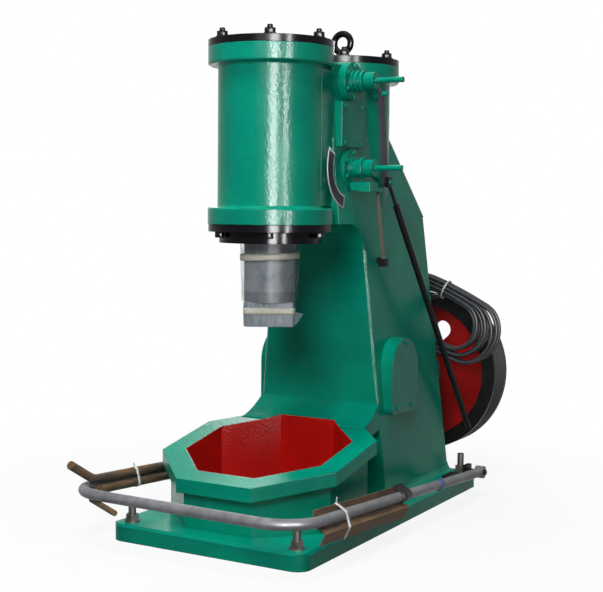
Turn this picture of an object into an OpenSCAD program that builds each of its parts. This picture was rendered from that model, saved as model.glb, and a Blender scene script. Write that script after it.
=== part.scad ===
// Pneumatic forging hammer: one cast frame with a working cylinder in front and a compressor
// cylinder behind it, a pit for a separate anvil, hand and foot valve gear, and a drive wheel.
// Millimetres, +Z up. The origin is the middle of the base plate's underside, -Y is the front.

/* [Base plate] */
// Width of the base plate
base_w = 696; // [660:1:760]
// Length of the base plate
base_l = 1320; // [1280:1:1400]
// Thickness of the base plate
base_t = 54; // [40:1:70]
// Corner radius of the base plate in plan
base_corner_r = 45; // [20:1:60]
// Chamfer along the top edges of the base plate
base_chamfer = 8; // [3:1:12]
// Distance of the hold-down studs from the edges of the base plate
stud_inset = 50; // [44:1:60]
// Diameter of the hold-down studs
stud_d = 24; // [16:1:28]
// Height of the studs above the base plate
stud_h = 70; // [55:1:90]

/* [Anvil collar] */
// Distance across the flats of the anvil pit
pit_af = 500; // [440:1:520]
// Distance across the flats of the collar wall
collar_af = 594; // [570:1:620]
// Distance across the flats of the lip
lip_af = 646; // [628:1:656]
// Height of the lip
lip_h = 44; // [30:1:60]
// Height of the rim above the floor, at the ram's axis
rim_z = 272; // [240:1:300]
// Forward tilt of the rim, in degrees
rim_tilt = 11.1; // [6:0.1:14]
// Reach of the curved flare from the column onto the rim
flare_reach = 135; // [90:1:160]
// Height of the curved flare up the column
flare_h = 36; // [20:1:60]
// Width of the wall that ties the collar to the column
collar_tie_w = 300; // [200:1:340]

/* [Column] */
// Width of the column at its foot
column_foot_w = 518; // [480:1:560]
// Taper of each side of the column, in degrees
column_taper = 5.285; // [4:0.005:5.6]
// Place of the column's front face at its foot
column_front_y = 60; // [50:1:75]
// Forward lean of the front face, in degrees
column_front_lean = 2.2; // [1:0.1:3]
// Place of the column's rear face at its foot
column_rear_y = 590; // [570:1:610]
// Forward lean of the rear face, in degrees
column_rear_lean = 4.2; // [3:0.1:5]
// Height of the shoulder behind the compressor
shoulder_z = 1005; // [960:1:1040]
// Slope of the shoulder from the vertical, in degrees
shoulder_slope = 42.2; // [38:0.1:46]
// Radius of the fillet at the column's foot, on both sides and at the rear
foot_fillet_r = 30; // [10:1:34]
// Chamfer on the column's upright edges
column_edge = 7; // [4:1:10]

/* [Cylinders] */
// Distance from the machine's middle forward to the ram's axis
ram_reach = 283; // [275:1:295]
// Distance from the machine's middle back to the compressor's axis
compressor_back = 192; // [180:1:205]
// Outer diameter of both cylinder barrels
barrel_d = 335; // [325:1:340]
// Outer diameter of the cylinder flanges
flange_d = 397; // [385:1:400]
// Height of the underside of the working cylinder
cylinder_bottom_z = 984; // [970:1:1000]
// Height of the working cylinder
cylinder_h = 551; // [530:1:570]
// Thickness of the lower flange
lower_flange_t = 52; // [40:1:60]
// Thickness of the upper flanges
upper_flange_t = 55; // [40:1:60]
// Height of the compressor's flange below the top of the working cylinder
compressor_drop = 14; // [5:1:25]
// Thickness of the cylinder covers
cover_t = 23; // [15:1:30]
// Radius of the rounded flange edges and of the fillets between flange and barrel
flange_round_r = 7; // [4:1:9]
// Bore of the working cylinder
bore_d = 240; // [220:1:250]
// Radius of the fillet under the valve chest
chest_fillet_r = 85; // [50:1:100]

/* [Ram] */
// Diameter of the ram
ram_d = 164; // [140:1:170]
// Length of the ram below the cylinder
ram_drop = 246; // [235:1:260]
// Length of the piston at the top of the ram
piston_l = 150; // [100:1:170]
// Thickness of the guide ring under the cylinder
guide_t = 24; // [18:1:30]
// Diameter of the gland ring under the guide ring
gland_d = 324; // [290:1:340]
// Thickness of the gland ring
gland_t = 35; // [20:1:40]
// Width of the upper die
die_w = 145; // [120:1:160]
// Depth of the upper die, front to rear
die_depth = 140; // [110:1:155]
// Height of the upper die
die_h = 77; // [60:1:90]

/* [Valve gear] */
// Distance between the sides of the valve chest
chest_w = 284; // [270:1:300]
// Distance of the valve axes in front of the machine's middle
valve_fwd = 40; // [30:1:50]
// Height of the upper valve's axis
upper_valve_z = 1448; // [1435:1:1455]
// Height of the lower valve's axis
lower_valve_z = 1167; // [1155:1:1180]
// Diameter of the valve flanges
valve_flange_d = 124; // [110:1:130]
// Thickness of the valve flanges and of the chest's cover plate
valve_flange_t = 26; // [18:1:32]
// Diameter of the valve spindles
spindle_d = 26; // [20:1:30]
// Reach of the valve hubs' outer ends from the machine's middle
hub_end_x = 250; // [240:1:256]
// Reach of the handles from the machine's middle
handle_end_x = 346; // [320:1:380]
// Diameter of the handles
handle_d = 18; // [14:1:20]
// Distance of the upper crank pin behind its valve's axis
upper_pin_back = 55; // [48:1:62]
// Drop of the upper crank pin below its valve's axis
upper_pin_drop = 38; // [32:1:44]
// Distance of the lower crank pin behind its valve's axis
lower_pin_back = 97; // [88:1:104]
// Drop of the lower crank pin below its valve's axis
lower_pin_drop = 44; // [36:1:50]
// Diameter of the crank pins
pin_d = 14; // [10:1:16]
// Width of the link bar between the cranks
link_w = 30; // [24:1:36]
// Thickness of the link bar
link_t = 10; // [8:1:12]
// Diameter of the long pull rod
rod_d = 22; // [16:1:24]

/* [Side covers] */
// Width of the crank chamber's side covers
side_cover_w = 205; // [180:1:220]
// Height of the side covers' lower edge
side_cover_z = 335; // [300:1:350]
// Height of the side covers
side_cover_h = 258; // [230:1:280]
// Distance between the outer faces of the two side covers
side_cover_span = 520; // [500:1:540]

/* [Drive wheel] */
// Diameter of the drive wheel
wheel_d = 620; // [560:1:640]
// Width of the drive wheel's rim
wheel_w = 130; // [110:1:150]
// Diameter of the wheel's web
web_d = 518; // [480:1:530]
// Thickness of the wheel's web
web_t = 24; // [16:1:30]
// Sideways place of the wheel's shaft
shaft_x = 60; // [40:1:80]
// Height of the wheel's shaft
shaft_z = 405; // [395:1:425]
// Place of the wheel's front face behind the machine's middle
wheel_front_y = 754; // [750:1:780]
// Diameter of the wheel's shaft
shaft_d = 70; // [50:1:80]
// Diameter of the bearing housing
bearing_d = 190; // [170:1:196]
// Number of belt grooves in the rim
groove_count = 4; // [3:1:5]

/* [Treadle] */
// Distance of the treadle's side bars outside the base plate
treadle_out = 72; // [65:1:85]
// Outer diameter of the treadle pipe
treadle_d = 33; // [26:1:36]
// Distance of the treadle's front bar in front of the base plate
treadle_ahead = 88; // [75:1:105]
// Height of the treadle's front bar
treadle_front_z = 157; // [150:1:170]
// Skew of the bent pipe towards the left, in degrees
treadle_skew = 1.8; // [0:0.1:2]
// Distance of the treadle's pivot from the rear end of the base plate
pivot_inset = 160; // [145:1:175]
// Height of the treadle's pivot
pivot_z = 88; // [84:1:95]
// Bend radius of the treadle pipe
treadle_bend_r = 130; // [90:1:150]

/* [Hidden] */
$fn = 96;

GREEN = "#0b7a62";
RED = "#8c1010";
BLACK = "#18181b";
STEEL = "#9a9aa2";
ZINC = "#b9b9be";
RUST = "#645037";
GREY_BAR = "#464450";
CABLE = "#3c3c3a";

fit_gap = 0.3;
seat_gap = 0.02;
far = 4000;
ram_y = -ram_reach;
compressor_y = compressor_back;
valve_y = -valve_fwd;

// The column's faces at a height
function half_w(z) = column_foot_w / 2 - (z - base_t) * tan(column_taper);
function front_y(z) = column_front_y - (z - base_t) * tan(column_front_lean);
function rear_y(z) = column_rear_y - (z - base_t) * tan(column_rear_lean);
function rim_at(y) = rim_z + (y - ram_y) * tan(rim_tilt);

cylinder_top_z = cylinder_bottom_z + cylinder_h;
compressor_top_z = cylinder_top_z - compressor_drop;
chest_top_drop = 21;
chest_overlap = 24;
chest_top_z = compressor_top_z - chest_top_drop;
chest_front_y = ram_y + barrel_d / 2 - chest_overlap;
chest_face_x = chest_w / 2;
plate_w = 156;
web_clear = 8;
web_end_y = valve_y - plate_w / 2 - web_clear;
ram_bottom_z = cylinder_bottom_z - ram_drop;
die_bottom_z = ram_bottom_z - die_h;
piston_rest = 20;
piston_bottom_z = cylinder_bottom_z + lower_flange_t + piston_rest;

// An outline in Y and Z carried along X, in the middle of the machine
module along_x(w) { rotate([90, 0, 90]) linear_extrude(w, center = true) children(); }
// An outline in X and Z carried along Y
module along_y(l) { rotate([90, 0, 0]) linear_extrude(l, center = true) children(); }
// A round bar along X from one place to another
module bar_x(d, x0, x1) { translate([x0, 0, 0]) rotate([0, 90, 0]) cylinder(d = d, h = x1 - x0); }
// A round bar along Y from one place to another
module bar_y(d, y0, y1) { translate([0, y0, 0]) rotate([-90, 0, 0]) cylinder(d = d, h = y1 - y0); }
// A round bar between two points
module bar_between(a, b, d) {
    v = b - a;
    translate(a) rotate([0, acos(v.z / norm(v)), atan2(v.y, v.x)]) cylinder(d = d, h = norm(v));
}
// A round bar swept along a line of points
function heading(line, i) = line[min(i + 1, len(line) - 1)] - line[max(i - 1, 0)];
function ring_at(line, i, d, sides) = let(
        t = heading(line, i), u = cross(t, [0, 0, 1]) / norm(cross(t, [0, 0, 1])), v = cross(u, t) / norm(t)
    ) [for (k = [0 : sides - 1]) line[i] + d / 2 * (cos(360 * k / sides) * u + sin(360 * k / sides) * v)];
module swept(line, d, sides) {
    n = len(line);
    points = [for (i = [0 : n - 1], p = ring_at(line, i, d, sides)) p];
    walls = [for (i = [0 : n - 2], k = [0 : sides - 1]) let(j = (k + 1) % sides)
        [i * sides + k, i * sides + j, (i + 1) * sides + j, (i + 1) * sides + k]];
    first = [for (k = [0 : sides - 1]) sides - 1 - k];
    last = [for (k = [0 : sides - 1]) (n - 1) * sides + k];
    polyhedron(points, concat(walls, [first, last]));
}
// A regular octagon with flats facing the four sides
module octagon(af) { rotate(22.5) circle(d = af / cos(22.5), $fn = 8); }
module rounded_rect(w, l, r) {
    square([w - 2 * r, l], center = true);
    square([w, l - 2 * r], center = true);
    for (x = [-1, 1], y = [-1, 1]) translate([x * (w / 2 - r), y * (l / 2 - r)]) circle(r);
}
// The outline of a plate seen from its edge, with the two upper corners cut off
module chamfered_edge(w, h, c) {
    polygon([[-w / 2, 0], [w / 2, 0], [w / 2, h - c], [w / 2 - c, h], [c - w / 2, h], [-w / 2, h - c]]);
}

// The pit that the anvil stands in, from under the base plate to above the rim
module pit() {
    translate([0, ram_y, -1]) linear_extrude(2 * rim_z) octagon(pit_af);
}

// Base plate
stud_x = base_w / 2 - stud_inset;
stud_y = base_l / 2 - stud_inset;
module stud_places() {
    for (x = [-1, 1], y = [-1, 1]) translate([x * stud_x, y * stud_y, 0]) children();
}
module base_plate() {
    color(GREEN) difference() {
        intersection() {
            linear_extrude(base_t) rounded_rect(base_w, base_l, base_corner_r);
            along_y(far) chamfered_edge(base_w, base_t, base_chamfer);
            along_x(far) chamfered_edge(base_l, base_t, base_chamfer);
        }
        pit();
        stud_places() translate([0, 0, -1]) cylinder(d = stud_d + 2 * fit_gap, h = base_t + 2);
    }
}

nut_h = 0.8 * stud_d;
washer_t = 4;
module hold_down_studs() {
    color(STEEL) stud_places() {
        cylinder(d = stud_d, h = base_t + stud_h);
        translate([0, 0, base_t]) cylinder(d = 2 * stud_d, h = washer_t);
        translate([0, 0, base_t + washer_t]) cylinder(d = 1.73 * stud_d, h = nut_h, $fn = 6);
    }
}

// Anvil collar
// Everything between the tilted rim plane and a plane a given depth under it
module under_rim(depth) {
    along_x(far) polygon([
        [ram_y - far, rim_at(ram_y - far)], [ram_y + far, rim_at(ram_y + far)],
        [ram_y + far, rim_at(ram_y + far) - depth], [ram_y - far, rim_at(ram_y - far) - depth]
    ]);
}
// Everything behind the column's front face
module behind_front() {
    along_x(far) polygon([[front_y(0), 0], [front_y(far), far], [far, far], [far, 0]]);
}
module collar_plan(af, tie_w) {
    translate([0, ram_y]) octagon(af);
    translate([-tie_w / 2, ram_y]) square([tie_w, column_front_y - ram_y]);
}
module anvil_collar() {
    color(GREEN) difference() {
        union() {
            intersection() {
                translate([0, 0, base_t]) linear_extrude(far / 2) collar_plan(collar_af, collar_tie_w);
                under_rim(far);
            }
            intersection() {
                translate([0, 0, base_t]) linear_extrude(far / 2) collar_plan(lip_af, 2 * half_w(rim_at(0)));
                under_rim(lip_h);
            }
        }
        pit();
        behind_front();
    }
}

// Column, valve chest and compressor cylinder: one casting
slope_end_z = shoulder_z + (rear_y(shoulder_z) - compressor_y) / tan(shoulder_slope);
module column_side() {
    polygon([
        [front_y(base_t), base_t], [front_y(cylinder_bottom_z), cylinder_bottom_z],
        [chest_front_y, cylinder_bottom_z], [chest_front_y, chest_top_z], [compressor_y, chest_top_z],
        [compressor_y, slope_end_z], [rear_y(shoulder_z), shoulder_z], [rear_y(base_t), base_t]
    ]);
    chest_fillet();
    rim_flare();
    translate([rear_y(base_t), base_t]) foot_fillet(column_rear_lean);
}
// Concave fillet from the column's front to the underside of the chest
module chest_fillet() {
    r = chest_fillet_r;
    translate([front_y(cylinder_bottom_z) - r, cylinder_bottom_z - r]) difference() {
        square([1.3 * r, r]);
        circle(r);
    }
}
// Concave fillet from the base plate up a face that leans back, with blunt edges
fillet_edge = 1;
module foot_fillet(lean) {
    t = foot_fillet_r / tan(45 + lean / 2);
    difference() {
        polygon([[-t, 0], [t, 0], [-t * sin(lean) - fillet_edge, t * cos(lean)], [-t, t]]);
        translate([t + fillet_edge, foot_fillet_r + fillet_edge]) circle(foot_fillet_r);
    }
}
// Concave flare that leaves the rim tangentially and meets the column's front
module rim_flare() {
    flare_r = (flare_reach * flare_reach + flare_h * flare_h) / (2 * flare_h);
    start_y = front_y(rim_z) - flare_reach;
    translate([start_y, rim_at(start_y)]) rotate(rim_tilt) difference() {
        polygon([
            [0, seat_gap], [flare_reach + 2 * flare_h, seat_gap], [flare_reach + flare_h / 2, 1.25 * flare_h]
        ]);
        translate([0, flare_r]) circle(flare_r, $fn = 256);
    }
}
// Front view of the tapered column, from the foot up to where the chest's upright sides start
module column_front() {
    z1 = chest_top_z + 1;
    w0 = half_w(base_t);
    w1 = half_w(z1);
    polygon([[-w0, base_t], [w0, base_t], [w1, z1], [-w1, z1]]);
    translate([-chest_face_x, cylinder_bottom_z]) square([chest_w, z1 - cylinder_bottom_z]);
    for (side = [0, 1]) mirror([side, 0]) translate([w0, base_t]) foot_fillet(column_taper);
}
// Half section of a flange whose edge towards the barrel is rounded
module flange_section(t) {
    r = flange_round_r;
    square([flange_d / 2 - r, t]);
    square([flange_d / 2, t - r]);
    translate([flange_d / 2 - r, t - r]) circle(r);
}
// Concave fillet between a barrel and the flange under it
module barrel_fillet(t) {
    r = flange_round_r;
    difference() {
        square([barrel_d / 2 + r, t + r]);
        translate([barrel_d / 2 + r, t + r]) circle(r);
    }
}
// Half section of the upper end of a barrel with its flange, upside down from the flange's face
module barrel_end_section(h) {
    flange_section(upper_flange_t);
    barrel_fillet(upper_flange_t);
    square([barrel_d / 2, h]);
}
module barrel_end(h) { rotate_extrude() translate([0, h]) mirror([0, 1]) barrel_end_section(h); }
// The space that the working cylinder takes, with its seating gap
module cylinder_space() {
    wide = flange_d + 2 * fit_gap;
    fillet_room = flange_round_r + fit_gap;
    translate([0, ram_y, cylinder_bottom_z - 1]) {
        cylinder(d = barrel_d + 2 * fit_gap, h = cylinder_h + 2);
        cylinder(d = wide, h = lower_flange_t + fit_gap + 1);
        cylinder(d = barrel_d + 2 * fillet_room, h = lower_flange_t + fillet_room + 1);
        translate([0, 0, cylinder_h - upper_flange_t - fit_gap + 1]) cylinder(d = wide, h = upper_flange_t + 2);
        translate([0, 0, cylinder_h - upper_flange_t - fillet_room + 1])
            cylinder(d = barrel_d + 2 * fillet_room, h = upper_flange_t + 2);
    }
}
web_edge = 2;
// Plan of the webs that carry the barrel's round sides over into the chest's flat sides
module chest_web_plan() {
    r = barrel_d / 2 + web_edge;
    reach = [chest_face_x, web_end_y - ram_y];
    turn = atan2(reach.y, reach.x) - acos(r / norm(reach));
    for (side = [-1, 1]) polygon([
        [0, ram_y], [side * cos(turn) * r, ram_y + sin(turn) * r],
        [side * chest_face_x, web_end_y], [side * chest_face_x / 2, web_end_y]
    ]);
}
module column() {
    web_z = cylinder_bottom_z + lower_flange_t + flange_round_r + fit_gap;
    web_top_z = cylinder_top_z - upper_flange_t - flange_round_r - fit_gap;
    color(GREEN) difference() {
        union() {
            intersection() {
                along_x(far) column_side();
                along_y(far) column_front();
            }
            translate([0, 0, web_z]) linear_extrude(web_top_z - web_z) chest_web_plan();
            translate([0, compressor_y, shoulder_z]) barrel_end(compressor_top_z - shoulder_z);
        }
        cylinder_space();
        pit();
        column_edges();
        stud_places() translate([0, 0, base_t]) cylinder(d = 2 * stud_d + 2 * bracket_clear, h = stud_h);
    }
}
// A square bar along an edge, which cuts a chamfer from it
module edge_cut(a, b) {
    v = b - a;
    turn = atan2(v.y, v.x);
    translate(a) rotate([0, acos(v.z / norm(v)), turn]) rotate(-turn)
        cylinder(r = column_edge, h = norm(v), $fn = 4);
}
// Chamfers on the column's upright edges, in front above the flare and at the rear above the foot
module column_edges() {
    z0 = rim_at(front_y(rim_z)) + flare_h + column_edge;
    z1 = cylinder_bottom_z - chest_fillet_r;
    z2 = base_t + foot_fillet_r + column_edge;
    for (side = [-1, 1]) {
        edge_cut([side * half_w(z0), front_y(z0), z0], [side * half_w(z1), front_y(z1), z1]);
        edge_cut([side * half_w(z2), rear_y(z2), z2], [side * half_w(shoulder_z), rear_y(shoulder_z), shoulder_z]);
    }
}

// Working cylinder with its covers and rings
module ring(d_out, d_in, h) {
    difference() {
        cylinder(d = d_out, h = h);
        translate([0, 0, -1]) cylinder(d = d_in, h = h + 2);
    }
}
module working_cylinder() {
    color(GREEN) translate([0, ram_y, cylinder_bottom_z]) rotate_extrude() difference() {
        union() {
            flange_section(lower_flange_t);
            barrel_fillet(lower_flange_t);
            translate([0, cylinder_h]) mirror([0, 1]) barrel_end_section(cylinder_h);
        }
        translate([0, -1]) square([bore_d / 2, cylinder_h + 2]);
    }
}
// A dished cover plate with a raised middle
module cover_plate() {
    cylinder(d = flange_d, h = cover_t);
    translate([0, 0, cover_t]) cylinder(d = bore_d, h = cover_t / 3);
}
module working_cover() {
    color(BLACK) translate([0, ram_y, cylinder_top_z]) cover_plate();
}
module compressor_cover() {
    color(BLACK) translate([0, compressor_y, compressor_top_z]) cover_plate();
}
module guide_ring() {
    color(BLACK) translate([0, ram_y, cylinder_bottom_z - guide_t]) ring(flange_d - 4, ram_d + 2 * fit_gap, guide_t);
}
module gland_ring() {
    color(BLACK) translate([0, ram_y, cylinder_bottom_z - guide_t - gland_t])
        ring(gland_d, ram_d + 2 * fit_gap, gland_t);
}

// Ram and upper die
dovetail_h = 30;
dovetail_w = 90;
// Long enough to hold the die, short enough that its corners pass through the gland with the ram
dovetail_l = min(die_depth, sqrt(pow(ram_d, 2) - pow(dovetail_w, 2)) - 2);
module dovetail(gap) {
    w = dovetail_w / 2 + gap;
    polygon([[-w + 12, -1], [w - 12, -1], [w, dovetail_h + gap], [-w, dovetail_h + gap]]);
}
module ram() {
    color(STEEL) translate([0, ram_y, 0]) difference() {
        union() {
            translate([0, 0, ram_bottom_z]) cylinder(d = ram_d, h = piston_bottom_z - ram_bottom_z + 1);
            translate([0, 0, piston_bottom_z]) cylinder(d = bore_d - 2 * fit_gap, h = piston_l);
        }
        translate([0, 0, ram_bottom_z]) along_y(ram_d + 2) dovetail(0);
    }
}
module upper_die() {
    color(STEEL) translate([0, ram_y, 0]) {
        translate([-die_w / 2, -die_depth / 2, die_bottom_z]) cube([die_w, die_depth, die_h]);
        translate([0, 0, ram_bottom_z]) along_y(dovetail_l) dovetail(0);
    }
}

// Chest plate and valve covers on the right side
chest_root = 30;
plate_gap = 6;
plate_z = lower_valve_z + valve_flange_d / 2 + plate_gap;
plate_h = upper_valve_z - valve_flange_d / 2 - plate_gap - plate_z;
module outside_column() {
    difference() {
        children();
        along_y(far) column_front();
    }
}
module chest_plate() {
    color(GREEN) outside_column() translate([chest_face_x - chest_root, valve_y - plate_w / 2, plate_z])
        cube([valve_flange_t + chest_root, plate_w, plate_h]);
}
housing_d = 70;
housing_neck_d = 56;
rib_count = 3;
rib_t = 9;
nut_af = 62;
nut_t = 16;
hub_gap = 2;
hub_l = 36;
housing_end_x = hub_end_x - hub_l - hub_gap;
// A round flange with a spindle housing, cut back to the chest's side
module valve_cover(z) {
    difference() {
        outside_column() translate([0, valve_y, z]) {
            bar_x(valve_flange_d, chest_face_x - chest_root, flange_face_x);
            bar_x(housing_neck_d, flange_face_x - 1, housing_end_x);
            children();
        }
        translate([0, valve_y, z]) bar_x(spindle_d + 2 * fit_gap, 0, far);
    }
}
// The upper housing has ribs all along, the lower one a packing nut at its end
module upper_valve_cover() {
    pitch = (housing_end_x - flange_face_x - rib_t) / (rib_count - 1);
    color(GREEN) valve_cover(upper_valve_z) for (i = [0 : rib_count - 1])
        translate([flange_face_x + i * pitch, 0, 0]) bar_x(housing_d, 0, rib_t);
}
module lower_valve_cover() {
    color(GREEN) valve_cover(lower_valve_z) {
        bar_x(housing_d, flange_face_x - 1, flange_face_x + rib_t);
        translate([housing_end_x - nut_t, 0, 0]) rotate([0, 90, 0]) cylinder(d = nut_af / cos(30), h = nut_t, $fn = 6);
    }
}

// Cranks that turn in the valve covers, each with its handle
hub_d_valve = 56;
crank_set_back = 30;
crank_x = hub_end_x - crank_set_back;
crank_t = 14;
crank_arm_w = 26;
crank_end_d = 34;
pin_out = 44;
spindle_root = 50;
pin_end_x = crank_x + pin_out;
module valve_crank(z, back, drop) {
    translate([0, valve_y, z]) {
        bar_x(spindle_d, housing_end_x - spindle_root, hub_end_x);
        bar_x(hub_d_valve, hub_end_x - hub_l, hub_end_x);
        bar_x(handle_d, hub_end_x, handle_end_x);
        crank_arm(back, drop);
        translate([0, back, -drop]) bar_x(pin_d, crank_x, pin_end_x);
    }
}
module crank_arm(back, drop) {
    l = norm([back, drop]);
    rotate([-atan2(drop, back), 0, 0]) {
        translate([crank_x, 0, -crank_arm_w / 2]) cube([crank_t, l, crank_arm_w]);
        translate([0, l, 0]) bar_x(crank_end_d, crank_x, crank_x + crank_t);
    }
}
module upper_valve_crank() {
    color(GREEN) valve_crank(upper_valve_z, upper_pin_back, upper_pin_drop);
}
module lower_valve_crank() {
    color(GREEN) valve_crank(lower_valve_z, lower_pin_back, lower_pin_drop);
}

// Link bar and pull rod on the crank pins
upper_pin = [0, valve_y + upper_pin_back, upper_valve_z - upper_pin_drop];
lower_pin = [0, valve_y + lower_pin_back, lower_valve_z - lower_pin_drop];
link_x = crank_x + crank_t + fit_gap;
loose_gap = 1.6;
module link_bar() {
    v = upper_pin - lower_pin;
    color(GREY_BAR) difference() {
        translate(lower_pin) rotate([-atan2(v.y, v.z), 0, 0]) {
            translate([link_x, -link_w / 2, 0]) cube([link_t, link_w, norm(v)]);
            for (z = [0, norm(v)]) translate([0, 0, z]) bar_x(link_w, link_x, link_x + link_t);
        }
        translate(lower_pin) bar_x(pin_d + 2 * fit_gap, 0, far);
        translate(upper_pin) bar_x(pin_d + 2 * loose_gap, 0, far);
    }
}
rod_x = link_x + link_t + fit_gap;
rod_eye_t = 12;
rod_eye_d = 36;
rod_foot = [290, 700, 207];
module pull_rod() {
    eye = [rod_x + rod_eye_t / 2, lower_pin.y, lower_pin.z];
    v = rod_foot - eye;
    neck = eye + v * 0.09;
    color(BLACK) difference() {
        union() {
            translate(lower_pin) bar_x(rod_eye_d, rod_x, rod_x + rod_eye_t);
            bar_between(eye + v * 0.012, neck, rod_eye_t);
            bar_between(neck - v * 0.004, rod_foot, rod_d);
        }
        translate(lower_pin) bar_x(pin_d + 2 * fit_gap, 0, far);
    }
}

// Relief block under the lower valve, with its drain
block_w = 60;
block_t = 44;
block_h = 32;
block_drop = 45;
block_z = lower_valve_z - block_drop - block_h;
block_end_x = hub_end_x - 4;
block_neck = 34;
flange_face_x = chest_face_x + valve_flange_t;
drain_d = 14;
lug_l = 40;
lug_h = 14;
lug_t = 24;
drain_mouth = [block_end_x - lug_t / 2, valve_y + block_w / 2 + lug_l / 2, block_z];
drain_foot = [206, 118, 868];
drain_run = drain_mouth - drain_foot;
// The pipe's slanted end just touches the lug with its upper edge
drain_short = (drain_d / 2 * norm([drain_run.x, drain_run.y]) / norm(drain_run) + fit_gap) / drain_run.z;
drain_top = drain_mouth - drain_run * drain_short;
module relief_block() {
    color(GREEN) translate([0, valve_y - block_w / 2, block_z]) {
        translate([flange_face_x, (block_w - block_neck) / 2, 4])
            cube([block_end_x - flange_face_x - 1, block_neck, block_h - 4]);
        translate([block_end_x - block_t, 0, 0]) cube([block_t, block_w, block_h]);
        translate([block_end_x - lug_t, block_w - 1, 0]) cube([lug_t, lug_l + 1, lug_h]);
    }
}
module drain_pipe() {
    color(RUST) bar_between(drain_foot, drain_top, drain_d);
}
cock_w = 26;
cock_drop = 20;
cock_stem_d = 20;
module drain_cock() {
    color(BLACK) outside_column() difference() {
        translate([0, drain_foot.y, drain_foot.z - 8]) {
            bar_x(cock_stem_d, half_w(drain_foot.z) - cock_stem_d, drain_foot.x);
            translate([drain_foot.x - cock_w / 2, -cock_w / 2, -cock_drop]) cube([cock_w, cock_w, cock_w]);
        }
        bar_between(drain_foot, drain_top, drain_d + 2 * fit_gap);
    }
}

// Side covers of the crank chamber
cover_corner_r = 25;
module side_cover(side) {
    r = side_cover_w / 2;
    c = cover_corner_r;
    outside_column() translate([side * side_cover_span / 4, compressor_y, side_cover_z]) along_x(side_cover_span / 2) {
        translate([-r + c, 0]) square([side_cover_w - 2 * c, 2 * c]);
        translate([-r, c]) square([side_cover_w, side_cover_h - r - c]);
        for (y = [-1, 1]) translate([y * (r - c), c]) circle(c);
        translate([0, side_cover_h - r]) circle(r);
    }
}
module right_side_cover() {
    color(GREEN) side_cover(1);
}
module left_side_cover() {
    color(GREEN) side_cover(-1);
}

// Lifting eye on the compressor's cover
eye_ring_r = 32;
eye_section_d = 23;
eye_collar_h = 20;
module lifting_eye() {
    top_z = compressor_top_z + cover_t + cover_t / 3;
    color(BLACK) translate([0, compressor_y, top_z]) {
        cylinder(d1 = 60, d2 = 40, h = eye_collar_h);
        translate([0, 0, eye_collar_h + eye_ring_r + 4]) rotate([90, 0, 0]) rotate_extrude()
            translate([eye_ring_r, 0]) circle(d = eye_section_d, $fn = 32);
    }
}

// Bearing housing and drive wheel behind the column
bearing_flange_d = 250;
bearing_gap = 6;
module bearing_housing() {
    color(GREEN) difference() {
        translate([shaft_x, 0, shaft_z]) {
            bar_y(bearing_flange_d, column_rear_y - 60, rear_y(shaft_z) + 40);
            bar_y(bearing_d, column_rear_y - 60, wheel_front_y - hub_out - bearing_gap);
        }
        translate([shaft_x, 0, shaft_z]) bar_y(shaft_d + 2 * fit_gap, 0, far);
        before_rear();
    }
}
hub_out = 12;
hub_d = 150;
web_inset = 14;
module at_shaft() { translate([shaft_x, wheel_front_y, shaft_z]) rotate([-90, 0, 0]) children(); }
groove_pitch = 24;
groove_depth = 14;
module wheel_rim() {
    color(BLACK) at_shaft() rotate_extrude($fn = 180) difference() {
        translate([web_d / 2 + fit_gap, 0]) square([(wheel_d - web_d) / 2 - fit_gap, wheel_w]);
        for (i = [0 : groove_count - 1])
            translate([wheel_d / 2, wheel_w / 2 + (i - (groove_count - 1) / 2) * groove_pitch])
                polygon([[1, -9], [1, 9], [-groove_depth, 5], [-groove_depth, -5]]);
    }
}
hole_d = 68;
hole_r = 185;
hole_tail = 95;
hole_angle = 62;
// A round hole drawn out to a point towards the hub
module petal() {
    a = acos(hole_d / 2 / hole_tail);
    translate([hole_r, 0]) circle(d = hole_d);
    polygon([
        [hole_r - hole_tail, 0], [hole_r - cos(a) * hole_d / 2, sin(a) * hole_d / 2],
        [hole_r - cos(a) * hole_d / 2, -sin(a) * hole_d / 2]
    ]);
}
module wheel_web() {
    color(RED) at_shaft() difference() {
        union() {
            translate([0, 0, web_inset]) cylinder(d = web_d, h = web_t, $fn = 180);
            translate([0, 0, -hub_out]) cylinder(d = hub_d, h = wheel_w);
        }
        translate([0, 0, -hub_out - 1]) cylinder(d = shaft_d + 2 * fit_gap, h = wheel_w + 2);
        for (a = [0, 180]) rotate(a - hole_angle) linear_extrude(wheel_w) petal();
    }
}
module wheel_shaft() {
    color(STEEL) translate([shaft_x, 0, shaft_z]) bar_y(shaft_d, rear_y(shaft_z) + 20, wheel_front_y + wheel_w + 20);
}

// Treadle: a pipe bent to a U that turns on pins at the rear of the base
treadle_x = base_w / 2 + treadle_out;
pivot_y = base_l / 2 - pivot_inset;
treadle_reach = pivot_y + base_l / 2 + treadle_ahead;
treadle_slope = atan2(treadle_front_z - pivot_z, treadle_reach);
treadle_run = norm([treadle_front_z - pivot_z, treadle_reach]);
pivot_pin_d = 18;
eye_d = 44;
eye_w = 30;
// Local frame of the treadle: origin in the pivot's middle, -Y along the side bars to the front
module treadle_frame() { translate([0, pivot_y, pivot_z]) rotate([-treadle_slope, 0, 0]) children(); }
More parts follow.
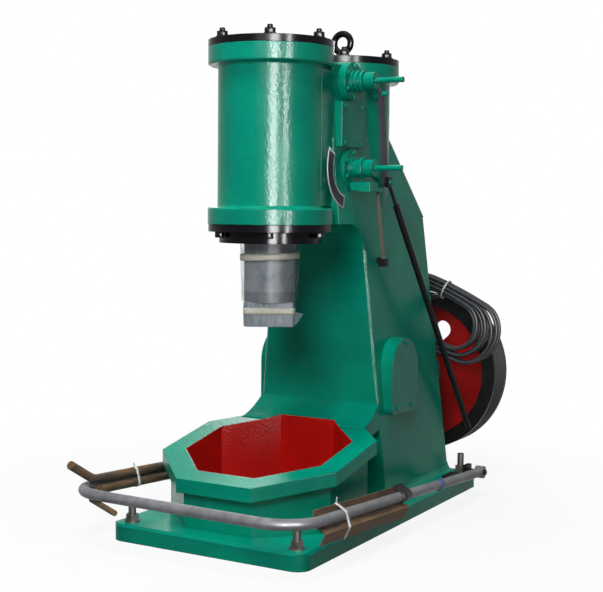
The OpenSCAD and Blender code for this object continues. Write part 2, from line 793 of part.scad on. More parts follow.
// A place along one side bar, at a distance behind the front bar
module at_side_bar(side, back) {
    treadle_frame() rotate(-treadle_skew) translate([side * treadle_x, back - treadle_run, 0]) children();
}
module treadle_bend(side) {
    rotate(side > 0 ? -90 : 180) rotate_extrude(angle = 90) translate([treadle_bend_r, 0]) circle(d = treadle_d);
}
module treadle_pipe() {
    front = treadle_x - treadle_bend_r;
    color(ZINC) difference() {
        union() {
            for (side = [-1, 1]) {
                at_side_bar(side, 0) bar_y(treadle_d, treadle_bend_r, treadle_run);
                at_side_bar(side, treadle_bend_r) translate([-side * treadle_bend_r, 0, 0]) treadle_bend(side);
                treadle_frame() translate([side * treadle_x, 0, 0]) bar_x(eye_d, -eye_w / 2, eye_w / 2);
            }
            treadle_frame() rotate(-treadle_skew) translate([0, -treadle_run, 0]) bar_x(treadle_d, -front, front);
        }
        treadle_frame() bar_x(pivot_pin_d + 2 * fit_gap, -far / 2, far / 2);
    }
}
bracket_l = 80;
bracket_foot_t = 12;
bracket_foot_out = 30;
bracket_clear = 2;
bracket_wall_in = 14;
bracket_wall_t = 16;
bracket_wall_l = 44;
pin_head = 8;
module treadle_brackets() {
    foot_spread = foot_fillet_r / tan(45 + column_taper / 2);
    foot_in = base_w / 2 - column_foot_w / 2 - foot_spread - bracket_clear;
    pin_end = treadle_out + eye_w / 2 + pin_head;
    color(BLACK) for (side = [0, 1]) mirror([side, 0, 0]) translate([base_w / 2, pivot_y, base_t]) {
        translate([-foot_in, -bracket_l / 2, 0]) cube([foot_in + bracket_foot_out, bracket_l, bracket_foot_t]);
        translate([bracket_wall_in, -bracket_wall_l / 2, 0])
            cube([bracket_wall_t, bracket_wall_l, pivot_z - base_t + bracket_wall_l / 2]);
        translate([0, 0, pivot_z - base_t]) bar_x(pivot_pin_d, bracket_wall_in, pin_end);
    }
}

// Steel stock strapped to the treadle: an angle iron and a flat bar on the right
stock_l = 520;
stock_back = 125;
angle_leg = 42;
angle_wall = 5;
angle_turn = 25;
angle_out = 37;
flat_h = 48;
flat_top = 30;
module strapped_angles() {
    side_gap = treadle_d / 2 + fit_gap;
    color(RUST) at_side_bar(1, stock_back + stock_l / 2) {
        rotate([0, angle_turn, 0]) along_y(stock_l)
            translate([angle_out - angle_leg, -side_gap - angle_leg]) difference() {
                square(angle_leg);
                square(angle_leg - angle_wall);
            }
        translate([-side_gap - angle_wall, -stock_l / 2, flat_top - flat_h]) cube([angle_wall, stock_l, flat_h]);
    }
}
// A bent pipe, a straight pipe and a short rod on the left
stock_d = 28;
rod_stock_d = 18;
upper_stock_at = 50;
lower_stock_at = -20;
stock_bend_r = 90;
stock_bend = 28;
stock_tip = 100;
left_stock_l = 420;
module at_stock(angle) {
    reach = (treadle_d + stock_d) / 2 + fit_gap;
    at_side_bar(-1, stock_back) translate([reach * cos(angle), 0, reach * sin(angle)]) children();
}
// The line of a pipe that lies along Y with its front end bent upwards
function bend_point(a) = [0, -sin(a), 1 - cos(a)] * stock_bend_r;
function bent_line() = concat(
    [[0, left_stock_l, 0]], [for (i = [0 : 4]) bend_point(stock_bend * i / 4)],
    [bend_point(stock_bend) + stock_tip * [0, -cos(stock_bend), sin(stock_bend)]]
);
module strapped_pipes() {
    under = -(treadle_d + rod_stock_d) / 2 - fit_gap;
    color(RUST) {
        at_stock(upper_stock_at) swept(bent_line(), stock_d, 24);
        at_stock(lower_stock_at) bar_y(stock_d, 0, left_stock_l);
        at_side_bar(-1, 0) bar_between([70, 40, under], [255, -70, under], rod_stock_d);
    }
}

// Supply cable: a gland on the column's rear, a hook, and the cable hung up as a hank
coil_ends = [[120, 655], [325, 562]];
coil_r = 135;
coil_bundle = 62;
coil_t = 46;
coil_y = 661;
cable_d = 14;
hook_d = 20;
coil_fan = 0.3;
module obround(r, share) {
    hull() for (c = [coil_ends[0], coil_ends[0] + (coil_ends[1] - coil_ends[0]) * share])
        translate(c) circle(r, $fn = 48);
}
module cable_coil() {
    color(CABLE) translate([0, coil_y, 0]) along_y(coil_t) difference() {
        obround(coil_r, 1);
        obround(coil_r - coil_bundle, 1 - coil_fan);
    }
}
hook_v = coil_ends[1] - coil_ends[0];
hook_n = [-hook_v.y, hook_v.x] / norm(hook_v);
hook_c = coil_ends[0] + hook_n * (coil_r - coil_bundle - hook_d / 2 - fit_gap) + hook_v * 0.1;
hook_out = 24;
hook_up = 44;
// Everything in front of the column's rear face
module before_rear() {
    along_x(far) polygon([[rear_y(0), 0], [rear_y(far), far], [-far, far], [-far, 0]]);
}
module cable_hook() {
    hook_end = coil_y + coil_t / 2 + hook_out;
    color(BLACK) difference() {
        translate([hook_c.x, 0, hook_c.y]) {
            bar_y(hook_d, column_front_y, hook_end);
            translate([0, hook_end - hook_d / 2, 0]) cylinder(d = hook_d, h = hook_up);
        }
        before_rear();
    }
}
// The cable's run from the gland to the hank
tail_route = [
    [-92, 556, 783], [-92, 586, 783], [-87, 609, 783], [-74, 628, 783], [-55, 641, 783], [-32, 646, 783],
    [0, 646, 783], [40, 646, 783], [80, 646, 783]
];
gland_nut_d = 40;
gland_nut_l = 10;
gland_cone_d = 32;
module cable_gland() {
    start = tail_route[0];
    nut_end = rear_y(start.z) + gland_nut_l;
    color(BLACK) difference() {
        translate([start.x, 0, start.z]) {
            bar_y(gland_nut_d, column_front_y, nut_end);
            translate([0, nut_end, 0]) rotate([-90, 0, 0])
                cylinder(d1 = gland_cone_d, d2 = cable_d + 4, h = start.y - nut_end);
        }
        before_rear();
    }
}
module cable_tail() {
    color(CABLE) swept(tail_route, cable_d, 10);
}

base_plate();
hold_down_studs();
anvil_collar();
column();
working_cylinder();
working_cover();
compressor_cover();
guide_ring();
gland_ring();
ram();
upper_die();
upper_valve_cover();
lower_valve_cover();
chest_plate();
relief_block();
drain_pipe();
drain_cock();
right_side_cover();
left_side_cover();
lifting_eye();
bearing_housing();
wheel_rim();
wheel_web();
wheel_shaft();
treadle_pipe();
treadle_brackets();
strapped_angles();
strapped_pipes();
upper_valve_crank();
lower_valve_crank();
link_bar();
pull_rod();
cable_gland();
cable_hook();
cable_coil();
cable_tail();
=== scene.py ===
"""Dresses the packed forging hammer: paint, bare metal, fasteners, cable, film and tape, stage and camera."""

import math

import bmesh
import bpy
from bpy.props import FloatProperty, FloatVectorProperty, IntProperty, PointerProperty
from bpy.types import Operator, Panel, PropertyGroup
from mathutils import Matrix, Vector, geometry, noise


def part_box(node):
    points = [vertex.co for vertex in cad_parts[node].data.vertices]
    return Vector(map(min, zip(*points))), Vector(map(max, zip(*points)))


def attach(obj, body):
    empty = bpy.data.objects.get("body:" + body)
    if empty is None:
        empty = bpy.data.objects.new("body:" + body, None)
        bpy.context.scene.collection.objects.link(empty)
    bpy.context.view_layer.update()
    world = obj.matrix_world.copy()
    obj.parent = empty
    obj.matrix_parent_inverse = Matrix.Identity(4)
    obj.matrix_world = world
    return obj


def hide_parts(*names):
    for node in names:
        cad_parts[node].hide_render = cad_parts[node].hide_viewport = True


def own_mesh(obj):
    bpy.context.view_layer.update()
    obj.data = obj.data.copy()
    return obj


bl_info = {
    "name": "Forging Hammer Finish",
    "version": (1, 0, 0),
    "blender": (4, 5, 0),
    "location": "View3D > Sidebar > Hammer",
    "description": "Paint, fasteners, cable, wrapping and stage for an air forging hammer",
    "category": "Object",
}

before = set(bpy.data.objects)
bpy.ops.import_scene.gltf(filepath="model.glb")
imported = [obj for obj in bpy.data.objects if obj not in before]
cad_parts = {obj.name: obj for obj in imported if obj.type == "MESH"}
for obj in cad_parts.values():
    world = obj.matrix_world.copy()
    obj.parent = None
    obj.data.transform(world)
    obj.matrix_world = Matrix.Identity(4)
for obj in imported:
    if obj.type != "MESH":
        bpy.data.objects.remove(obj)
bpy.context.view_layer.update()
MM = 0.001

GREEN_NODES = (
    "working_cylinder", "upper_valve_cover", "lower_valve_cover", "chest_plate", "relief_block",
    "right_side_cover", "left_side_cover", "bearing_housing", "upper_valve_crank", "lower_valve_crank",
)
PIT_NODES = ("base_plate", "anvil_collar", "column")
BLACK_NODES = ("working_cover", "compressor_cover", "guide_ring", "gland_ring", "lifting_eye")
SATIN_NODES = ("wheel_rim", "pull_rod", "treadle_brackets", "drain_cock", "cable_hook", "cable_gland")

# Route of the supply cable from its gland to the hank, in millimetres
TAIL_ROUTE = (
    (-92, 556, 783), (-92, 571, 783), (-92, 586, 783), (-87, 609, 783), (-74, 628, 783),
    (-55, 641, 783), (-32, 646, 783), (0, 646, 783), (40, 646, 783), (80, 646, 783),
)

UP, DOWN, RIGHT = (0, 0, 1), (0, 0, -1), (1, 0, 0)

# Washers, nuts and stud ends on the covers, and bolts under the guide ring, in metres
COVER_RIM = 0.023
WASHER = {"radius": 0.021, "height": 0.004, "chamfer": 0.001}
NUT = {"height": 0.016, "chamfer": 0.0015}
STUD_END = {"radius": 0.009, "height": 0.012, "chamfer": 0.002}
STUD_SUNK = 0.002
RING_BOLT = {"across": 0.026, "height": 0.018, "chamfer": 0.0015}

# Screws of the valve flanges, the chest plate and the side covers, and their distances from the edges, in
# metres. The two lower screws of a side cover stand aside by a share of its half width.
VALVE_SCREW = {"height": 0.007, "chamfer": 0.001}
VALVE_SCREWS, VALVE_CIRCLE = 6, 0.05
SCREW_HEAD = {"height": 0.006, "chamfer": 0.002}
PLATE_FRONT, PLATE_REAR, PLATE_END = 0.018, 0.02, 0.014
COVER_TOP, COVER_FOOT, FOOT_SPREAD = 0.016, 0.022, 0.55

# Film round the ram and round the die: depth of its folds and height over which a tape holds it flat, in
# metres, and its share of fine creases
LOOSE_FOLD, LOOSE_HOLD, LOOSE_CREASES = 0.0035, 0.03, 0.4
TIGHT_FOLD, TIGHT_HOLD, TIGHT_CREASES = 0.002, 0.025, 0.7
# Noise of the folds and of the creases: steps per radian round the film and per metre of height
FOLD_STEPS, CREASE_STEPS = (3, 7), (11, 26)
# Corners round the film, and rings up the loose film, the tight film and a tape
FILM_CORNERS, LOOSE_RINGS, TIGHT_RINGS, TAPE_RINGS = 144, 44, 30, 3
# Share of the loose film's slack that is left at the ram's foot
FOOT_SLACK = 0.45
# Room between the tight film and the die, and the power that makes its corners square
DIE_ROOM, CORNER_POWER = 0.0015, 14
# How far the film's lower edge stands above the die's face, and how far the upper tape dips to one side
HEM, TAPE_TILT = 0.002, 0.004
# Loose corner of film: how far out, ahead and up from the die's lower front corner, in millimetres
FLAP = ((0, 0, 50), (28, -4, 42), (12, -6, 18), (0, 0, 6))

# Bands round the treadle's bars, and the tails of the plastic ties, in metres
TIE_WIDTH, STRAP_WIDTH, BLUE_WIDTH, BAND_ROOM = 0.012, 0.065, 0.03, 0.0025
FRONT_TAIL, LEFT_TAIL, TAIL_SUNK = 0.022, 0.016, 0.003
TAIL_SHAPE = {"segments": 10, "radius1": 0.0035, "radius2": 0.002}

# Bearings of the arc-shaped plate's two ends, its faces along and across, and its seat above the casting
PLATE_FROM, PLATE_TO = math.radians(152), math.radians(262)
PLATE_STEPS, PLATE_ROWS, PLATE_SEAT = 28, 8, 0.0022


def middle(node):
    """Middle of a node's box."""
    low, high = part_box(node)
    return (low + high) / 2


def linear(hex_colour):
    """An sRGB hex colour as linear red, green and blue."""
    parts = [int(hex_colour[i:i + 2], 16) / 255 for i in (1, 3, 5)]
    return tuple(c / 12.92 if c <= 0.04045 else ((c + 0.055) / 1.055) ** 2.4 for c in parts)


def colour(name, description, hex_colour):
    """A colour setting that starts from an sRGB hex value."""
    return FloatVectorProperty(
        name=name, description=description, default=linear(hex_colour), subtype="COLOR", size=3, min=0, max=1,
    )


def length(name, description, metres):
    """A length setting in metres."""
    return FloatProperty(name=name, description=description, default=metres, unit="LENGTH", min=0)


def place_along(name, description, metres):
    """A place along the machine, which is less than 0 ahead of its middle."""
    return FloatProperty(name=name, description=description, default=metres, unit="LENGTH")


def place_at(name, description, place):
    """A place setting in metres."""
    return FloatVectorProperty(
        name=name, description=description, default=place, subtype="TRANSLATION", unit="LENGTH",
    )


def bearing(name, description, degrees):
    """An angle setting that starts from degrees."""
    return FloatProperty(name=name, description=description, default=math.radians(degrees), subtype="ANGLE")


class HammerPaint(PropertyGroup):
    """Colours of the paints and bare metals."""

    green: colour("Green", "Enamel on the castings", "#029C80")
    green_shade: colour("Green shade", "Enamel where it lies thicker", "#028C75")
    red: colour("Red", "Enamel inside the anvil pit", "#DC1C15")
    wheel_red: colour("Wheel red", "Enamel on the wheel's web", "#CC1A18")
    black: colour("Black", "Gloss enamel on covers and rings", "#17171B")
    satin: colour("Satin black", "Paint on the wheel rim, rods and hooks", "#0C0C0F")
    steel: colour("Steel", "Ground steel of the ram", "#BCC0C6")
    zinc: colour("Zinc", "Dull plating of studs and nuts", "#5A5851")
    pipe: colour("Pipe", "Galvanised treadle pipe", "#8E8F92")
    rust: colour("Rust", "Rusted mill steel", "#7A5C3C")
    scale: colour("Mill scale", "Dark skin left between the rust", "#4A4038")
    bar: colour("Bar", "Blued link bar", "#45434F")
    drain: colour("Drain pipe", "Dull steel of the drain pipe", "#77736A")
    rubber: colour("Rubber", "Cable sheath", "#34353A")
    tape: colour("Tape", "Cream packing tape", "#DEDCCB")
    pit_across: length("Pit size", "Width of the red pit across its flats", 0.5)


class HammerFasteners(PropertyGroup):
    """Sizes of nuts, bolts and screws."""

    cover_count: IntProperty(
        name="Cover bolts", description="Bolts round each cover", default=6, min=3, max=16,
    )
    cover_circle: length("Bolt circle", "Radius of the covers' bolt circle", 0.172)
    cover_across: length("Nut size", "Width of the covers' nuts across flats", 0.03)
    gland_circle: length("Ring bolt circle", "Radius of the bolt circle under the guide ring", 0.179)
    screw_across: length("Screw size", "Width of the cover screws across flats", 0.013)


class HammerCable(PropertyGroup):
    """Supply cable hung up as a hank behind the column."""

    diameter: length("Diameter", "Outer diameter of the cable", 0.014)
    turns: IntProperty(name="Turns", description="Turns in each layer", default=4, min=2, max=5)
    layers: IntProperty(name="Layers", description="Layers of turns, front to rear", default=3, min=1, max=5)
    pitch: length("Pitch", "Distance between turns and between layers", 0.015)
    outer: length("Outer radius", "Radius of the outermost turn", 0.128)
    near_end: place_at("Near end", "Middle of the hank's left end", (0.12, 0.646, 0.655))
    far_end: place_at("Far end", "Middle of the hank's right end", (0.314, 0.646, 0.566))
    fan: FloatProperty(
        name="Fan", description="Share by which the inner turns are shorter", default=0.42, max=0.6,
    )
    tie_width: length("Tie width", "Width of the white tie", 0.006)
    tie_bearing: bearing("Tie bearing", "Where the tie sits round the hank", 96)


class HammerWrap(PropertyGroup):
    """Upper die turned towards the front right, and the clear film and tape round it and the ram."""

    die_turn: bearing("Die turn", "How far the die is turned on the ram", 30)
    die_width: length("Die width", "Width of the die's face", 0.156)
    die_depth: length("Die depth", "Depth of the die, front to rear", 0.13)
    ram_radius: length("Ram radius", "Radius of the ram below the gland", 0.082)
    foot_height: length("Foot height", "Height of the sleeve at the ram's foot", 0.034)
    gap: length("Gap", "Room between film and die", 0.0025)
    slack: length("Slack", "Room between the loose film and the ram, at the top", 0.014)
    top: length("Top", "Height of the film's upper edge", 0.922)
    tape_width: length("Tape width", "Width of the packing tape", 0.02)
    upper_tape: length("Upper tape", "Height of the upper tape's middle", 0.882)
    lower_tape: length("Lower tape", "Height of the lower tape's middle", 0.711)


class HammerTies(PropertyGroup):
    """Where the ties, strap and tape sit along the treadle's side bars, and the bare plate by the valve."""

    front_tie: place_along("Front tie", "White tie on the right", -0.505)
    strap: place_along("Strap", "Rubber strap on the right", -0.115)
    blue_tape: place_along("Blue tape", "Blue tape on the right", 0.15)
    left_tie: place_along("Left tie", "White tie on the left", -0.43)
    plate_ahead: length("Plate ahead", "How far the arc's centre lies ahead of the valve", 0.045)
    plate_radius: length("Plate radius", "Middle radius of the arc-shaped plate by the valve", 0.112)
    plate_width: length("Plate width", "Width of the arc-shaped plate", 0.042)


class HammerStage(PropertyGroup):
    """Camera and light."""

    camera_place: place_at("Camera", "Where the camera stands", (2.0491, -3.6454, 1.0484))
    azimuth: bearing("Azimuth", "Turn of the camera round the machine", 29.872)
    pitch: bearing("Pitch", "Downward tilt of the camera", 4.260)
    roll: bearing("Roll", "Roll of the camera", 0.521)
    lens: FloatProperty(name="Lens", description="Focal length", default=73.67, unit="CAMERA")
    sky: FloatProperty(name="Sky", description="Strength of the even light", default=0.11, min=0)


def connect(tree, node, links):
    """Feeds a node's inputs from other nodes' outputs."""
    for key, socket in links.items():
        tree.links.new(socket, node.inputs[key])


def add(tree, kind, settings=(), links=()):
    """Adds a node. A setting is an input's name or number, or a property of the node."""
    made = tree.nodes.new("ShaderNode" + kind)
    for key, value in dict(settings).items():
        if isinstance(key, int) or key in made.inputs:
            made.inputs[key].default_value = value
        else:
            setattr(made, key, value)
    connect(tree, made, dict(links))
    return made


def start(name, specular, **settings):
    """A new material: itself, its tree, its shader and its Object coordinates."""
    made = bpy.data.materials.new(name)
    made.use_nodes = True
    tree = made.node_tree
    tree.nodes.clear()
    shader = add(tree, "BsdfPrincipled", {"Specular IOR Level": specular, **settings})
    add(tree, "OutputMaterial", links={"Surface": shader.outputs["BSDF"]})
    place = add(tree, "TexCoord").outputs["Object"]
    return made, tree, shader, place


def rgba(value):
    """A colour with full opacity."""
    return (*value, 1.0)


def scaled(value, share):
    """A colour made darker or lighter by a share."""
    return [share * c for c in value]


def per_metre(millimetres):
    """Noise scale that gives spots of about this size."""
    return 1000 / millimetres


def enamel(name, coat, shade, rough, peel_depth_mm):
    """Enamel sprayed on filled cast iron. The eye sees a wet gloss broken by orange peel, soft waves of the
    filler under it, edges worn round so that they catch the light, and darker paint in slow clouds."""
    made, tree, shader, place = start(name, 0.05, IOR=1.5)
    clouds = add(tree, "TexNoise", {"Scale": per_metre(180), "Detail": 3.0}, {"Vector": place})
    thick = add(tree, "MapRange", {"From Min": 0.35, "From Max": 0.6}, {"Value": clouds.outputs[0]})
    tint = add(tree, "Mix", {"data_type": "RGBA", 6: rgba(shade), 7: rgba(coat)}, {0: thick.outputs[0]})
    connect(tree, shader, {"Base Color": tint.outputs[2]})
    # Peel is about 2 mm apart on the real paint, and is drawn at 8 mm so that it shows
    peel = add(tree, "TexNoise", {"Scale": per_metre(8), "Detail": 1.0, "Roughness": 0.4}, {"Vector": place})
    waves = add(tree, "TexNoise", {"Scale": per_metre(110), "Detail": 2.0}, {"Vector": place})
    edges = add(tree, "Bevel", {"samples": 4, "Radius": 4 * MM})
    wavy = add(
        tree, "Bump", {"Strength": 1.0, "Distance": 0.9 * MM},
        {"Height": waves.outputs[0], "Normal": edges.outputs[0]},
    )
    rippled = add(
        tree, "Bump", {"Strength": 1.0, "Distance": peel_depth_mm * MM},
        {"Height": peel.outputs[0], "Normal": wavy.outputs[0]},
    )
    connect(tree, shader, {"Normal": rippled.outputs[0]})
    haze = add(
        tree, "MapRange", {"From Min": 0.3, "From Max": 0.7, "To Min": rough, "To Max": rough + 0.1},
        {"Value": clouds.outputs[0]},
    )
    connect(tree, shader, {"Roughness": haze.outputs[0]})
    return made, tree, shader, place, tint


def enamel_with_pit(name, coat, shade, inside, rough, peel_depth_mm, pit_across):
    """Green enamel whose octagonal pit is brushed red: the red stops at the pit's upper edge."""
    made, tree, shader, place, tint = enamel(name, coat, shade, rough, peel_depth_mm)
    centre = middle("ram")
    offset = add(tree, "VectorMath", {"operation": "SUBTRACT", 1: (centre.x, centre.y, 0)}, {0: place})
    size = add(tree, "VectorMath", {"operation": "ABSOLUTE"}, {0: offset.outputs[0]})
    axes = add(tree, "SeparateXYZ", links={0: size.outputs[0]})
    flat = add(tree, "Math", {"operation": "MAXIMUM"}, {0: axes.outputs["X"], 1: axes.outputs["Y"]})
    total = add(tree, "Math", {"operation": "ADD"}, {0: axes.outputs["X"], 1: axes.outputs["Y"]})
    slant = add(tree, "Math", {"operation": "MULTIPLY", 1: math.sqrt(0.5)}, {0: total.outputs[0]})
    across = add(tree, "Math", {"operation": "MAXIMUM"}, {0: flat.outputs[0], 1: slant.outputs[0]})
    within = add(tree, "Math", {"operation": "LESS_THAN", 1: pit_across / 2 + MM}, {0: across.outputs[0]})
    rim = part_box("anvil_collar")[1].z
    low = add(tree, "Math", {"operation": "LESS_THAN", 1: rim}, {0: axes.outputs["Z"]})
    in_pit = add(tree, "Math", {"operation": "MULTIPLY"}, {0: within.outputs[0], 1: low.outputs[0]})
    streaks = add(tree, "TexNoise", {"Scale": per_metre(60), "Detail": 4.0}, {"Vector": place})
    red = add(
        tree, "Mix", {"data_type": "RGBA", 6: rgba(scaled(inside, 0.72)), 7: rgba(inside)},
        {0: streaks.outputs[0]},
    )
    both = add(
        tree, "Mix", {"data_type": "RGBA"},
        {0: in_pit.outputs[0], 6: tint.outputs[2], 7: red.outputs[2]},
    )
    connect(tree, shader, {"Base Color": both.outputs[2]})
    return made


def satin_paint(name, coat, rough):
    """Thin brushed paint on rough castings and rods: low sheen, slightly dusty in the hollows."""
    made, tree, shader, place = start(name, 0.06, IOR=1.5)
    dust = add(tree, "TexNoise", {"Scale": per_metre(35), "Detail": 5.0}, {"Vector": place})
    tint = add(
        tree, "Mix", {"data_type": "RGBA", 6: rgba(coat), 7: rgba([c * 1.6 + 0.004 for c in coat])},
        {0: dust.outputs[0]},
    )
    grit = add(tree, "TexNoise", {"Scale": per_metre(4), "Detail": 2.0}, {"Vector": place})
    rough_skin = add(tree, "Bump", {"Strength": 1.0, "Distance": 0.25 * MM}, {"Height": grit.outputs[0]})
    haze = add(
        tree, "MapRange", {"To Min": rough - 0.08, "To Max": rough + 0.12}, {"Value": dust.outputs[0]},
    )
    connect(tree, shader, {
        "Base Color": tint.outputs[2], "Roughness": haze.outputs[0], "Normal": rough_skin.outputs[0],
    })
    return made


def ground_steel(name, metal):
    """Ground steel under a coat of grease: dull grey, fine rings that smear the light, with faint stains."""
    made, tree, shader, place = start(name, 0.05)
    rings = add(tree, "Mapping", {"Scale": (1.0, 1.0, 40.0)}, {"Vector": place})
    # Grinding rings are finer than 1 mm, and are drawn at 3 mm so that they show
    lines = add(tree, "TexNoise", {"Scale": per_metre(120), "Detail": 4.0}, {"Vector": rings.outputs[0]})
    stains = add(tree, "TexNoise", {"Scale": per_metre(45), "Detail": 4.0}, {"Vector": place})
    tint = add(
        tree, "Mix", {"data_type": "RGBA", 6: rgba(scaled(metal, 0.7)), 7: rgba(metal)},
        {0: stains.outputs[0]},
    )
    haze = add(tree, "MapRange", {"To Min": 0.26, "To Max": 0.46}, {"Value": lines.outputs[0]})
    bump = add(tree, "Bump", {"Strength": 1.0, "Distance": 0.05 * MM}, {"Height": lines.outputs[0]})
    connect(tree, shader, {
        "Base Color": tint.outputs[2], "Roughness": haze.outputs[0], "Normal": bump.outputs[0],
    })
    return made


def dull_plating(name, metal):
    """Dull zinc on nuts and studs: grey, matt, with brownish handling marks."""
    made, tree, shader, place = start(name, 0.12, Metallic=0.12)
    marks = add(tree, "TexNoise", {"Scale": per_metre(14), "Detail": 5.0}, {"Vector": place})
    tint = add(
        tree, "Mix", {"data_type": "RGBA", 6: rgba(scaled(metal, 0.45)), 7: rgba(metal)},
        {0: marks.outputs[0]},
    )
    haze = add(tree, "MapRange", {"To Min": 0.35, "To Max": 0.6}, {"Value": marks.outputs[0]})
    connect(tree, shader, {"Base Color": tint.outputs[2], "Roughness": haze.outputs[0]})
    return made


def galvanised(name, metal):
    """Drawn galvanised pipe: pale grey, streaked along its length, with duller scuffed patches."""
    made, tree, shader, place = start(name, 0.08, Metallic=0.05)
    drawn = add(tree, "Mapping", {"Scale": (1.0, 0.12, 1.0)}, {"Vector": place})
    streaks = add(tree, "TexNoise", {"Scale": per_metre(26), "Detail": 3.0}, {"Vector": drawn.outputs[0]})
    scuffs = add(tree, "TexNoise", {"Scale": per_metre(70), "Detail": 5.0}, {"Vector": place})
    both = add(
        tree, "Math", {"operation": "MULTIPLY"}, {0: streaks.outputs[0], 1: scuffs.outputs[0]},
    )
    worn = add(tree, "MapRange", {"From Min": 0.1, "From Max": 0.36}, {"Value": both.outputs[0]})
    tint = add(
        tree, "Mix", {"data_type": "RGBA", 6: rgba(scaled(metal, 0.6)), 7: rgba(metal)},
        {0: worn.outputs[0]},
    )
    haze = add(tree, "MapRange", {"To Min": 0.5, "To Max": 0.3}, {"Value": worn.outputs[0]})
    bump = add(tree, "Bump", {"Strength": 1.0, "Distance": 0.1 * MM}, {"Height": streaks.outputs[0]})
    connect(tree, shader, {
        "Base Color": tint.outputs[2], "Roughness": haze.outputs[0], "Normal": bump.outputs[0],
    })
    return made


def rusted(name, rust, scale):
    """Hot-rolled bar with a skin of rust: brown bloom over dark scale, streaked along the bar, no shine."""
    made, tree, shader, place = start(name, 0.08)
    drawn = add(tree, "Mapping", {"Scale": (1.0, 0.25, 1.0)}, {"Vector": place})
    bloom = add(
        tree, "TexNoise", {"Scale": per_metre(24), "Detail": 7.0, "Roughness": 0.65},
        {"Vector": drawn.outputs[0]},
    )
    cover = add(tree, "MapRange", {"From Min": 0.38, "From Max": 0.6}, {"Value": bloom.outputs[0]})
    tint = add(tree, "Mix", {"data_type": "RGBA", 6: rgba(scale), 7: rgba(rust)}, {0: cover.outputs[0]})
    pits = add(tree, "TexNoise", {"Scale": per_metre(5), "Detail": 5.0}, {"Vector": place})
    bump = add(tree, "Bump", {"Strength": 1.0, "Distance": 0.5 * MM}, {"Height": pits.outputs[0]})
    haze = add(tree, "MapRange", {"To Min": 0.5, "To Max": 0.85}, {"Value": cover.outputs[0]})
    connect(tree, shader, {
        "Base Color": tint.outputs[2], "Roughness": haze.outputs[0], "Normal": bump.outputs[0],
    })
    return made


def rubber(name, sheath):
    """Extruded rubber sheath: dark grey, matt, with a dusty bloom and faint scuffs."""
    made, tree, shader, place = start(name, 0.12, IOR=1.5)
    bloom = add(tree, "TexNoise", {"Scale": per_metre(30), "Detail": 5.0}, {"Vector": place})
    tint = add(
        tree, "Mix", {"data_type": "RGBA", 6: rgba(scaled(sheath, 0.6)), 7: rgba(scaled(sheath, 1.5))},
        {0: bloom.outputs[0]},
    )
    haze = add(tree, "MapRange", {"To Min": 0.36, "To Max": 0.6}, {"Value": bloom.outputs[0]})
    connect(tree, shader, {"Base Color": tint.outputs[2], "Roughness": haze.outputs[0]})
    return made


def clear_film(name, clearest, milkiest):
    """Stretched polyethylene film: clear where it lies flat, milky and bright along its creases."""
    made, tree, shader, place = start(
        name, 0.03, IOR=1.5, Roughness=0.3, **{"Base Color": rgba(linear("#8E9EA8"))},
    )
    pulled = add(tree, "Mapping", {"Scale": (1.0, 1.0, 0.35), "Rotation": (0.3, 0.2, 0.0)}, {"Vector": place})
    creases = add(
        tree, "TexNoise", {"Scale": per_metre(30), "Detail": 4.0, "Roughness": 0.55, "Distortion": 1.0},
        {"Vector": pulled.outputs[0]},
    )
    milk = add(
        tree, "MapRange", {"From Min": 0.5, "From Max": 0.72, "To Min": clearest, "To Max": milkiest},
        {"Value": creases.outputs[0]},
    )
    bump = add(tree, "Bump", {"Strength": 1.0, "Distance": 2 * MM}, {"Height": creases.outputs[0]})
    connect(tree, shader, {"Alpha": milk.outputs[0], "Normal": bump.outputs[0]})
    return made


def plain_plastic(name, face, rough):
    """Moulded plastic or rubber in one colour, with a slightly uneven, handled sheen."""
    made, tree, shader, place = start(name, 0.12, IOR=1.45, **{"Base Color": rgba(face)})
    marks = add(tree, "TexNoise", {"Scale": per_metre(20), "Detail": 3.0}, {"Vector": place})
    haze = add(tree, "MapRange", {"To Min": rough - 0.1, "To Max": rough + 0.1}, {"Value": marks.outputs[0]})
    connect(tree, shader, {"Roughness": haze.outputs[0]})
    return made


def paper_tape(name, face):
    """Creped packing tape: matt cream with fine cross ribs and a few grey fingermarks."""
    made, tree, shader, place = start(name, 0.1, IOR=1.45, Roughness=0.6)
    marks = add(tree, "TexNoise", {"Scale": per_metre(28), "Detail": 4.0}, {"Vector": place})
    tint = add(
        tree, "Mix", {"data_type": "RGBA", 6: rgba(scaled(face, 0.78)), 7: rgba(face)},
        {0: marks.outputs[0]},
    )
    ribs = add(tree, "TexNoise", {"Scale": per_metre(3), "Detail": 2.0}, {"Vector": place})
    bump = add(tree, "Bump", {"Strength": 1.0, "Distance": 0.3 * MM}, {"Height": ribs.outputs[0]})
    connect(tree, shader, {"Base Color": tint.outputs[2], "Normal": bump.outputs[0]})
    return made


def finish_node(node, made):
    """Gives a CAD node its material in place of the plain one."""
    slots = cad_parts[node].data.materials
    slots.clear()
    slots.append(made)


def keep(bm, name, body, slot, *materials):
    """Turns a bmesh into a piece that rides on a body and takes the given materials. The slot is not used."""
    bmesh.ops.recalc_face_normals(bm, faces=bm.faces)
    mesh = bpy.data.meshes.new(name)
    bm.to_mesh(mesh)
    bm.free()
    for made in materials:
        mesh.materials.append(made)
    piece = bpy.data.objects.new(name, mesh)
    bpy.context.scene.collection.objects.link(piece)
    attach(piece, body)
    return piece


def smooth_faces(piece, angle=35):
    """Shades a piece smooth, apart from its sharp edges."""
    piece.data.shade_smooth()
    piece.data.set_sharp_from_angle(angle=math.radians(angle))


def thicken(piece, millimetres):
    """Gives a sheet its thickness."""
    piece.modifiers.new("Thickness", "SOLIDIFY").thickness = millimetres * MM


